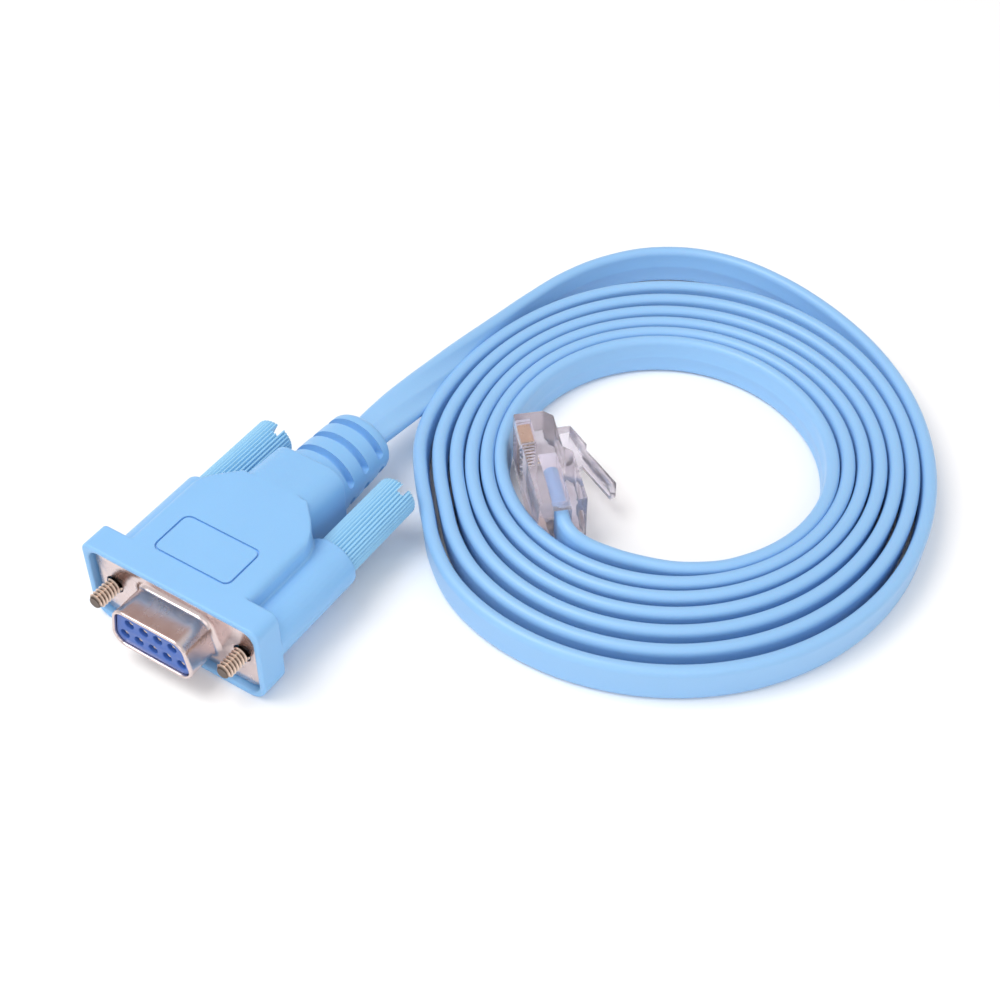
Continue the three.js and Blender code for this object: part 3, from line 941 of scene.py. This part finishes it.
def thread_tree() -> bpy.types.NodeTree:
    """The Geometry Nodes tree for a screw's thread: a ridge wound round a line along Y."""
    tree = bpy.data.node_groups.new("wound_thread", "GeometryNodeTree")
    g = Graph(tree)
    g.socket("Geometry", "NodeSocketGeometry")
    g.socket("Turns", "NodeSocketFloat", 6.0)
    g.socket("Length", "NodeSocketFloat", 0.004)
    g.socket("Radius", "NodeSocketFloat", 0.001)
    g.socket("Ridge", "NodeSocketFloat", 0.0003)
    g.socket("Start", "NodeSocketVector")
    g.socket("Finish", "NodeSocketMaterial")
    g.socket("Geometry", "NodeSocketGeometry", output=True)
    given = g.add("NodeGroupInput").outputs
    wound = g.add("GeometryNodeCurveSpiral", {
        "Resolution": 28, "Rotations": given["Turns"], "Start Radius": given["Radius"],
        "End Radius": given["Radius"], "Height": given["Length"],
    })
    upright = g.add("GeometryNodeSetCurveNormal", {"Curve": wound.outputs[0]})
    upright.mode = "Z_UP"
    section = g.add("GeometryNodeCurvePrimitiveCircle", {"Resolution": 4, "Radius": given["Ridge"]})
    ridge = g.add("GeometryNodeCurveToMesh", {
        "Curve": upright.outputs[0], "Profile Curve": section.outputs[0], "Fill Caps": True,
    })
    laid = g.add("GeometryNodeTransform", {
        "Geometry": ridge.outputs[0], "Rotation": (-math.pi / 2, 0.0, 0.0), "Translation": given["Start"],
    })
    both = g.add("GeometryNodeJoinGeometry")
    tree.links.new(given["Geometry"], both.inputs[0])
    tree.links.new(laid.outputs[0], both.inputs[0])
    real = g.add("GeometryNodeRealizeInstances", {"Geometry": both.outputs[0]})
    dressed = g.add("GeometryNodeSetMaterial", {"Geometry": real.outputs[0], "Material": given["Finish"]})
    g.add("NodeGroupOutput", {"Geometry": dressed.outputs[0]})
    return tree


def knurl_tree() -> bpy.types.NodeTree:
    """The Geometry Nodes tree for a bar along Y with rounded ridges and eased ends."""
    tree = bpy.data.node_groups.new("knurled_bar", "GeometryNodeTree")
    g = Graph(tree)
    g.socket("Geometry", "NodeSocketGeometry")
    g.socket("Radius", "NodeSocketFloat", 0.0035)
    g.socket("Ridges", "NodeSocketInt", 22)
    g.socket("Ridge", "NodeSocketFloat", 0.0003)
    g.socket("Front", "NodeSocketVector")
    g.socket("Rear", "NodeSocketVector")
    g.socket("Length", "NodeSocketFloat", 0.03)
    g.socket("Ease", "NodeSocketFloat", 0.0004)
    g.socket("Finish", "NodeSocketMaterial")
    g.socket("Geometry", "NodeSocketGeometry", output=True)
    given = g.add("NodeGroupInput").outputs
    count = g.math("MULTIPLY", given["Ridges"], 8.0)
    circle = g.add("GeometryNodeCurvePrimitiveCircle", {"Resolution": count, "Radius": given["Radius"]})
    place = g.add("ShaderNodeSeparateXYZ", {0: g.add("GeometryNodeInputPosition").outputs[0]})
    turn = g.math("ARCTAN2", place.outputs[1], place.outputs[0])
    wave = g.math("COSINE", g.math("MULTIPLY", turn, given["Ridges"]))
    dip = g.math("POWER", g.math("MULTIPLY_ADD", wave, -0.5), 2.0)
    dip.node.inputs[0].links[0].from_node.inputs[2].default_value = 0.5
    share = g.math("SUBTRACT", 1.0, g.math("DIVIDE", g.math("MULTIPLY", dip, given["Ridge"]), given["Radius"]))
    position = g.add("GeometryNodeInputPosition").outputs[0]
    scaled = g.add("ShaderNodeVectorMath", {0: position, 3: share}, operation="SCALE")
    fluted = g.add("GeometryNodeSetPosition", {"Geometry": circle.outputs[0], "Position": scaled.outputs[0]})
    line = g.add("GeometryNodeCurvePrimitiveLine", {"Start": given["Front"], "End": given["Rear"]})
    stations = g.add("GeometryNodeResampleCurve", {"Curve": line.outputs[0], "Count": 120})
    along = g.add("GeometryNodeSplineParameter").outputs["Length"]
    from_end = g.math("MINIMUM", along, g.math("SUBTRACT", given["Length"], along))
    left = g.math("SUBTRACT", 1.0, g.math("DIVIDE", from_end, given["Ease"]), clamp=True)
    rest = g.math("SUBTRACT", 1.0, g.math("MULTIPLY", left, left), clamp=True)
    eased = g.math("SUBTRACT", 1.0, g.math("SQRT", rest))
    narrow = g.math("SUBTRACT", 1.0, g.math("DIVIDE", g.math("MULTIPLY", eased, given["Ease"]), given["Radius"]))
    sized = g.add("GeometryNodeSetCurveRadius", {"Curve": stations.outputs[0], "Radius": narrow})
    bar = g.add("GeometryNodeCurveToMesh", {
        "Curve": sized.outputs[0], "Profile Curve": fluted.outputs[0], "Fill Caps": True,
    })
    if "Scale" in bar.inputs:
        tree.links.new(narrow, bar.inputs["Scale"])
    real = g.add("GeometryNodeRealizeInstances", {"Geometry": bar.outputs[0]})
    dressed = g.add("GeometryNodeSetMaterial", {"Geometry": real.outputs[0], "Material": given["Finish"]})
    g.add("NodeGroupOutput", {"Geometry": dressed.outputs[0]})
    return tree


@dataclass
class Thumbscrew:
    """One thumbscrew: a ribbed plastic knob with a driver slot, and its plated jackscrew.

    Attributes:
        side: which end of the connector it is at.
        slot_angle: the slot's turn from +X towards +Z, in degrees.
        offset: from the connector's middle.
        diameter: the knob's, over its ridges.
        front: where the knob starts behind the flange's front.
        rear: where it ends.
        ridges: how many ridges run along it.
        ridge: their height.
        slot: the slot's width.
        slot_depth: its depth.
        crest: the thread's outer diameter.
        root: its inner diameter.
        pitch: between two turns of the thread.
        turns: how many turns it has.
        tip: how far the screw stands out in front of the flange.
        neck: diameter of the plain part.
        grip: how far the screw runs into the knob.
    """

    side: Side
    slot_angle: float
    offset: float = 12.5
    diameter: float = 7.1
    front: float = 9.0
    rear: float = 39.6
    ridges: int = 36
    ridge: float = 0.36
    slot: float = 1.3
    slot_depth: float = 1.8
    crest: float = 2.84
    root: float = 2.1
    pitch: float = 0.635
    turns: float = 7.0
    tip: float = 4.6
    neck: float = 2.2
    grip: float = 4.0

    @property
    def axis(self) -> Vector:
        """The point of its axis beside the flange's front."""
        return CONNECTOR + Vector((self.side.value * self.offset, 0, 0))

    @property
    def body(self) -> str:
        """The CAD body that it turns with."""
        return f"thumbscrew_{self.side.label}"

    def cutter(self) -> bpy.types.Object:
        """A bar across the knob's end that leaves the driver slot."""
        reach, turn = self.diameter, math.radians(self.slot_angle)
        across = Vector((math.cos(turn), 0, math.sin(turn)))
        aside = Vector((-math.sin(turn), 0, math.cos(turn)))
        rings = []
        for y in (self.rear - self.slot_depth, self.rear + 1):
            rings.append([self.axis + Vector((0, y, 0)) + across * a + aside * b for a, b in (
                (-reach, -self.slot / 2), (reach, -self.slot / 2), (reach, self.slot / 2), (-reach, self.slot / 2))])
        return mesh_piece("slot_cutter", *loft(rings))

    def knob(self) -> bpy.types.Object:
        """The ribbed knob.

        Returns:
            The knob as plain mesh.
        """
        piece = mesh_piece(f"knob_{self.side.label}", [], [])
        tree = bpy.data.node_groups.get("knurled_bar") or knurl_tree()
        run_geometry(piece, tree, {
            "Radius": self.diameter / 2 * MM, "Ridges": self.ridges, "Ridge": self.ridge * MM,
            "Front": tuple((self.axis + Vector((0, self.front, 0))) * MM),
            "Rear": tuple((self.axis + Vector((0, self.rear, 0))) * MM),
            "Length": (self.rear - self.front) * MM, "Ease": 0.25 * MM, "Finish": KNOB_PLASTIC.make(),
        })
        tidy_mesh(piece)
        cutter = self.cutter()
        cut = piece.modifiers.new("driver_slot", "BOOLEAN")
        cut.operation, cut.object, cut.solver = "DIFFERENCE", cutter, "EXACT"
        baked(piece)
        bpy.data.objects.remove(cutter)
        return deliver(piece, self.body, [f"thumb_knob_{self.side.label}"])

    def screw(self) -> bpy.types.Object:
        """The jackscrew with its wound thread.

        Returns:
            The screw as plain mesh.
        """
        root, neck, tip = self.root / 2, self.neck / 2, -self.tip
        end = tip + 0.3 + self.turns * self.pitch
        profile = [(0.0, tip), (root - 0.12, tip), (root, tip + 0.14), (root, tip + 0.5), (root, end),
                   (neck, end + 0.25), (neck, self.front + self.grip - 0.3), (0.0, self.front + self.grip - 0.3)]
        piece = mesh_piece(f"screw_{self.side.label}", *turned(profile, self.axis, 28))
        tree = bpy.data.node_groups.get("wound_thread") or thread_tree()
        half = (self.crest - self.root) / 2
        run_geometry(piece, tree, {
            "Turns": self.turns, "Length": self.turns * self.pitch * MM, "Radius": (root + 0.02) * MM,
            "Ridge": (half - 0.02) * MM, "Start": tuple((self.axis + Vector((0, tip + 0.3, 0))) * MM),
            "Finish": SCREW_METAL.make(),
        })
        return deliver(piece, self.body, [f"jackscrew_{self.side.label}"])

    def build(self) -> list[bpy.types.Object]:
        """Builds the knob and the screw."""
        return [self.knob(), self.screw()]


# Cable


@dataclass
class FlatCable:
    """The flat eight-core cable: out of the strain relief, once over on its edge, round the coil and into the plug.

    Attributes:
        width: across the ribbon.
        thick: its thickness.
        rib: height of the faint ridge along the middle of its inner face.
        lean: degrees that the ribbon leans outwards in the coil.
        centre: the coil's middle.
        lead: the route's points before the coil.
        last: the route's points after the coil, into the plug.
        spiral_start: degrees of winding where the formula takes over.
        spiral_end: degrees of winding where it ends.
        upright: length over which the lead turns from flat to its edge.
        step: distance between sections.
    """

    width: float = 7.0
    thick: float = 2.3
    rib: float = 0.16
    lean: float = 4.0
    centre: tuple[float, float] = (42.0, 55.95)
    lead: tuple[Point, ...] = (
        (0.0, 23.4, 7.8), (0.0, 27.1, 7.8), (0.1, 31.3, 7.7), (0.3, 36.5, 7.45), (0.6, 42.0, 7.0), (0.8, 48.0, 6.3),
        (0.9, 54.5, 5.5), (1.1, 61.0, 4.7), (1.5, 67.5, 4.1), (2.2, 74.5, 3.7),
    )
    last: tuple[Point, ...] = (
        (56.85, 31.15, 3.6), (50.7, 28.85, 3.75), (46.4, 27.75, 4.1), (42.9, 27.15, 4.6), (40.5, 27.2, 5.3),
        (38.75, 27.95, 5.75),
        (37.5, 29.15, 5.85), (35.26, 31.48, 5.85), (33.03, 33.82, 5.85), (30.79, 36.15, 5.85),
    )
    spiral_start: float = 36.0
    spiral_end: float = 2386.0
    upright: float = 49.0
    step: float = 1.1

    def radius(self, wound: float) -> float:
        """The coil's radius after winding so far.

        Args:
            wound: degrees wound, from the coil's far left and clockwise from above.

        Returns:
            Millimetres from the coil's middle.
        """
        turns = wound / 360
        way = math.radians(180 - wound)
        middle = 46.85 - 3.73 * turns + 0.10 * turns**2
        across, along = 1.63 + 0.08 * turns - 0.02 * turns**2, -3.20 + 0.34 * turns - 0.03 * turns**2
        oval, slant = -2.68 + 0.51 * turns - 0.02 * turns**2, -1.34 + 0.35 * turns - 0.03 * turns**2
        egg, skew = 0.39 - 0.22 * turns + 0.03 * turns**2, -0.38 + 0.32 * turns - 0.04 * turns**2
        loose = 6.38 * math.exp(-(((wound - 60.4) / 29.4) ** 2))
        shape = across * math.cos(way) + along * math.sin(way)
        shape += oval * math.cos(2 * way) + slant * math.sin(2 * way)
        shape += egg * math.cos(3 * way) + skew * math.sin(3 * way)
        turn = max(0, round((wound - 307) / 360))
        past = (wound - 307 - 360 * turn) / 16
        beside_knob = max(0.0, 2.1 - 0.65 * turn) * math.exp(-(past**2))
        return middle + shape + loose - beside_knob

    def route(self) -> Ring:
        """The whole centreline in the part's frame, evenly spaced."""
        points = [Vector(p) for p in self.lead]
        wound = self.spiral_start
        while wound <= self.spiral_end:
            way, r = math.radians(180 - wound), self.radius(wound)
            height = self.width / 2 + 0.15 * math.exp(-(wound - self.spiral_start) / 12)
            points.append(Vector((self.centre[0] + r * math.cos(way), self.centre[1] + r * math.sin(way), height)))
            wound += 10
        points += [Vector(p) for p in self.last]
        return evenly(points, self.step)

    def section(self) -> list[tuple[float, float, float]]:
        """The ribbon's outline as (across, out of the inner face, share of the way round)."""
        half = self.thick / 2
        edge = half - 0.02
        outline = rounded_rectangle(self.width, self.thick, edge, edge, 6)
        shoulder, foot, slope = 2.2, 0.62, 0.34
        inner = [(shoulder, half), (foot, half), (slope, half + self.rib * 0.85), (0.0, half + self.rib),
                 (-slope, half + self.rib * 0.85), (-foot, half), (-shoulder, half)]
        points = [p for p in outline if p[0] > 0] + inner + [p for p in outline if p[0] < 0]
        points += [(-shoulder, -half), (shoulder, -half)]
        return [(a, b, i / len(points)) for i, (a, b) in enumerate(points)]

    def build(self) -> tuple[bpy.types.Object, Ring]:
        """Builds the ribbon.

        Returns:
            The cable and the middles of its sections, in millimetres.
        """
        route = self.route()
        section = self.section()
        rings, lengths, run = [], [], 0.0
        for i, at in enumerate(route):
            ahead = (route[min(i + 1, len(route) - 1)] - route[max(i - 1, 0)]).normalized()
            right = ahead.cross(Vector((0, 0, 1))).normalized()
            up = right.cross(ahead)
            share = 1 - max(0.0, 1 - max(0.0, run - 4.0) / self.upright) ** 1.6
            left = len(route) - 1 - i
            lean = self.lean * min(1.0, left * self.step / 30)
            turn = math.radians((90 - lean) * share)
            inner = up * math.cos(turn) + right * math.sin(turn)
            across = inner.cross(ahead).normalized()
            rings.append([at + across * a + inner * b for a, b, _ in section])
            run += (at - route[i - 1]).length if i else 0.0
            lengths.append(run)
        points, faces = loft(rings)
        piece = mesh_piece("flat_cable", points, faces, JACKET_VINYL.make(), crease=50)
        self.map_along(piece, route, lengths, len(section))
        return piece, route

    def map_along(self, piece: bpy.types.Object, route: Ring, lengths: list[float], around: int) -> None:
        """Gives the ribbon a map whose first axis is metres along and whose second is the share round it."""
        layer = piece.data.uv_layers.new(name="along")
        count = len(route) * around
        for polygon in piece.data.polygons:
            shares = [(piece.data.loops[n].vertex_index % around) / around for n in polygon.loop_indices]
            wraps = max(shares) - min(shares) > 0.5
            for n, share in zip(polygon.loop_indices, shares):
                vertex = min(piece.data.loops[n].vertex_index, count - 1)
                layer.data[n].uv = (lengths[vertex // around], share + (1.0 if wraps and share < 0.5 else 0.0))


def evenly(points: Ring, step: float) -> Ring:
    """Carries a smooth curve through points and spaces it evenly.

    Args:
        points: what the curve goes through.
        step: the spacing, in millimetres.

    Returns:
        The new points, with the ends kept.
    """
    padded = [points[0] * 2 - points[1], *points, points[-1] * 2 - points[-2]]
    fine = []
    for a, b, c, d in zip(padded, padded[1:], padded[2:], padded[3:]):
        for i in range(12):
            t = i / 12
            bend, twist = 2 * a - 5 * b + 4 * c - d, 3 * b - a - 3 * c + d
            fine.append(0.5 * (2 * b + (c - a) * t + bend * t**2 + twist * t**3))
    fine.append(points[-1].copy())
    total = sum((q - p).length for p, q in zip(fine, fine[1:]))
    count = max(2, round(total / step))
    spaced, run, goal = [fine[0]], 0.0, total / count
    for p, q in zip(fine, fine[1:]):
        span = (q - p).length
        while run + span >= goal * len(spaced) - 1e-9 and len(spaced) < count:
            spaced.append(p.lerp(q, (goal * len(spaced) - run) / span))
        run += span
    spaced.append(fine[-1])
    return spaced


# Plug


@dataclass
class ModularPlug:
    """The clear eight-way plug: body, latch and gold blades.

    Attributes:
        rear: middle of its rear face, above the surface.
        heading: degrees from +X towards +Y of the way its nose points.
        width: its width, which stands upright here.
        length: from rear face to nose.
        nose: its height at the nose.
        height: its height at the rear.
        nose_length: how far the lower nose reaches back.
        cable: the cable that it holds.
        cavity: depth of the opening for the jacket.
        pitch: between two blades.
        blade_length: along the nose.
        blade_height: into the body.
        blade_thick: of each blade.
        blade_slot: width of its slot.
        setback: of the blades from the nose.
        slant: of the nose's corner beside the latch.
    """

    cable: FlatCable
    rear: tuple[float, float] = (37.5, 29.15)
    heading: float = 133.8
    width: float = 11.7
    length: float = 21.5
    nose: float = 6.6
    height: float = 8.0
    nose_length: float = 9.0
    cavity: float = 12.5
    pitch: float = 1.02
    blade_length: float = 4.2
    blade_height: float = 2.6
    blade_thick: float = 0.35
    blade_slot: float = 0.62
    setback: float = 1.5
    slant: float = 1.5

    def placed(self, point: Sequence[float]) -> Vector:
        """Carries a point of the plug's own drawing into the part's frame."""
        turn = Matrix.Rotation(math.radians(self.heading - 90), 3, "Z")
        return turn @ Vector(point) + Vector((*self.rear, 0.0))

    def levels(self) -> list[float]:
        """Heights of the eight blades above the surface."""
        return [self.width / 2 + (i - 3.5) * self.pitch for i in range(8)]

    def upright(self, name: str, outline: Sequence[tuple[float, float]], low: float, high: float) -> bpy.types.Object:
        """A prism on an outline of the plug's drawing, between two heights."""
        rings = [[self.placed((x, y, z)) for x, y in outline] for z in (low, high)]
        return mesh_piece(name, *loft(rings))

    def rounded(self, piece: bpy.types.Object, radius: float) -> bpy.types.Object:
        """Rounds a prism's edges."""
        bevel = piece.modifiers.new("eased_edges", "BEVEL")
        bevel.width, bevel.segments, bevel.limit_method = radius * MM, 2, "ANGLE"
        bevel.angle_limit = math.radians(25)
        return baked(piece)

    def body(self) -> bpy.types.Object:
        """The clear body with its cavity and the eight blade slots.

        Returns:
            The body.
        """
        contact, latch = -self.height / 2, self.height / 2
        nose = contact + self.nose
        piece = self.upright("plug_clear_body", [
            (contact, 0), (latch, 0), (latch, self.length - self.nose_length - 1.4),
            (nose, self.length - self.nose_length), (nose, self.length - self.slant),
            (nose - self.slant, self.length), (contact, self.length),
        ], 0.0, self.width)
        self.rounded(piece, 0.3)
        half, wide = self.cable.thick / 2 + 0.3, self.cable.width / 2 + 0.3
        middle = self.width / 2
        cutters = [self.upright("cavity", [(-half, -1), (half, -1), (half, self.cavity), (-half, self.cavity)],
                                middle - wide, middle + wide)]
        front = self.length - self.setback
        back, deep = front - self.blade_length - 0.3, contact + self.blade_height + 0.3
        for i, z in enumerate(self.levels()):
            cutters.append(self.upright(f"slot_{i}", [
                (contact - 1, back), (deep, back), (deep, self.length - 0.45), (contact - 1, self.length - 0.45),
            ], z - self.blade_slot / 2, z + self.blade_slot / 2))
        cutter = merged("cutters", cutters)
        cut = piece.modifiers.new("hollows", "BOOLEAN")
        cut.operation, cut.object, cut.solver = "DIFFERENCE", cutter, "EXACT"
        baked(piece)
        bpy.data.objects.remove(cutter)
        piece.data.materials.clear()
        piece.data.materials.append(CLEAR.make())
        return deliver(piece, "root", ["plug_body"])

    def blades(self) -> bpy.types.Object:
        """The eight gold blades."""
        contact = -self.height / 2
        front = self.length - self.setback
        back, deep = front - self.blade_length, contact + self.blade_height
        outline = [(contact + 0.35, back), (deep, back), (deep, front), (contact + 0.8, front),
                   (contact + 0.35, front - 0.5)]
        half = self.blade_thick / 2
        pattern = self.upright("blade_pattern", outline, -half, half)
        places = [Vector((0, 0, z)) for z in self.levels()]
        piece = repeated("plug_blades", pattern, places, GOLD.make())
        return deliver(piece, "root", [f"plug_contact_{i}" for i in range(1, 9)])

    def latch(self) -> bpy.types.Object:
        """The latch, in the CAD's shape with its edges eased."""
        piece = copied("plug_latch", "plug_clear_latch")
        flat = piece.modifiers.new("flat_faces", "DECIMATE")
        flat.decimate_type, flat.angle_limit = "DISSOLVE", math.radians(2)
        self.rounded(piece, 0.2)
        piece.data.materials.clear()
        piece.data.materials.append(CLEAR.make())
        return deliver(piece, "latch", ["plug_latch"])

    def build(self) -> list[bpy.types.Object]:
        """Builds the plug's pieces."""
        return [self.body(), self.latch(), self.blades()]


# Studio


@dataclass
class Studio:
    """Camera, floor and lights.

    Attributes:
        target: the point at the picture's middle.
        azimuth: the camera's way round, in degrees.
        elevation: its height, in degrees.
        distance: from the target.
        lens: focal length on a 36 mm sensor.
        floor_radius: of the round floor.
        room: strength of the even light all round.
        dark_way: direction of the one dark side of the room, which the metal mirrors.
        dark_colour: its colour.
    """

    target: Point = (26.88, 27.12, 7.8)
    azimuth: float = 33.25
    elevation: float = 45.19
    distance: float = 281.33
    lens: float = 63.0
    floor_radius: float = 3000.0
    room: float = 0.78
    dark_way: Point = (-0.386, 0.589, 0.709)
    dark_colour: Point = (0.62, 0.46, 0.40)

    def camera(self) -> bpy.types.Object:
        """Sets up the camera at the photograph's angle."""
        data = bpy.data.cameras.new("photo_camera")
        data.lens, data.sensor_width = self.lens, 36.0
        data.clip_start, data.clip_end = 0.01, 20.0
        camera = bpy.data.objects.new("photo_camera", data)
        bpy.context.scene.collection.objects.link(camera)
        a, e = math.radians(self.azimuth), math.radians(self.elevation)
        back = Vector((math.sin(a) * math.cos(e), -math.cos(a) * math.cos(e), math.sin(e)))
        camera.location = (Vector(self.target) + back * self.distance) * MM
        camera.rotation_euler = (-back).to_track_quat("-Z", "Y").to_euler()
        bpy.context.scene.camera = camera
        return camera

    def floor(self) -> bpy.types.Object:
        """Lays the floor just under the object."""
        points, count = [Vector((0, 0, -0.02))], 64
        for i in range(count):
            a = 2 * math.pi * i / count
            points.append(Vector((self.floor_radius * math.cos(a), self.floor_radius * math.sin(a), -0.02)))
        faces = [[0, 1 + i, 1 + (i + 1) % count] for i in range(count)]
        piece = mesh_piece("studio_floor", points, faces, FLOOR_WHITE.make())
        if piece.data.polygons[0].normal.z < 0:
            piece.data.flip_normals()
        return piece

    def lamp(self, name: str, place: Point, size: float, watts: float, colour: tuple[float, float, float]) -> None:
        """Adds a square lamp aimed at the target.

        Args:
            name: its name.
            place: where it stands, in millimetres.
            size: its side, in millimetres.
            watts: its power.
            colour: its light's colour.
        """
        data = bpy.data.lights.new(name, "AREA")
        data.size, data.energy, data.color = size * MM, watts, colour
        lamp = bpy.data.objects.new(name, data)
        bpy.context.scene.collection.objects.link(lamp)
        lamp.location = Vector(place) * MM
        lamp.rotation_euler = (Vector(self.target) - Vector(place)).to_track_quat("-Z", "Y").to_euler()

    def build(self) -> None:
        """Sets up the floor and the light."""
        world = bpy.data.worlds.new("studio")
        world.use_nodes = True
        background = world.node_tree.nodes["Background"]
        g = Graph(world.node_tree)
        direction = g.add("ShaderNodeTexCoord").outputs["Generated"]
        toward = g.add("ShaderNodeVectorMath", {0: direction, 1: tuple(Vector(self.dark_way).normalized())},
                       operation="DOT_PRODUCT")
        mask = g.add("ShaderNodeMapRange", {"Value": toward.outputs["Value"], "From Min": 0.72, "From Max": 0.95},
                     interpolation_type="SMOOTHSTEP")
        mix = g.add("ShaderNodeMix", {"Factor": mask.outputs["Result"]}, data_type="RGBA")
        mix.inputs[6].default_value = (1, 1, 1, 1)
        mix.inputs[7].default_value = (*self.dark_colour, 1)
        g.tree.links.new(mix.outputs[2], background.inputs["Color"])
        background.inputs["Strength"].default_value = self.room
        bpy.context.scene.world = world
        bpy.context.scene.view_settings.view_transform = "Standard"
        self.floor()
        self.lamp("key", (-200, -160, 620), 420, 2.5, (1.0, 0.99, 0.97))
        self.lamp("fill", (420, -380, 420), 500, 0.6, (0.97, 0.98, 1.0))


def main() -> None:
    """Builds the studio, the cable and the connector in order."""
    logging.basicConfig(level=logging.INFO, format="%(message)s")
    studio = Studio()
    studio.camera()
    studio.build()
    cable = FlatCable()
    ribbon, route = cable.build()
    deliver(ribbon, "root", ["flat_cable_lead", "flat_cable_coil", "flat_cable_plug_end"])
    plug = ModularPlug(cable).build()
    shell = SocketShell()
    Hood().build()
    shell.build()
    SocketFace(shell).build()
    Thumbscrew(Side.LEFT, 64.0).build()
    Thumbscrew(Side.RIGHT, 58.0).build()


if __name__ == "__main__":
    main()
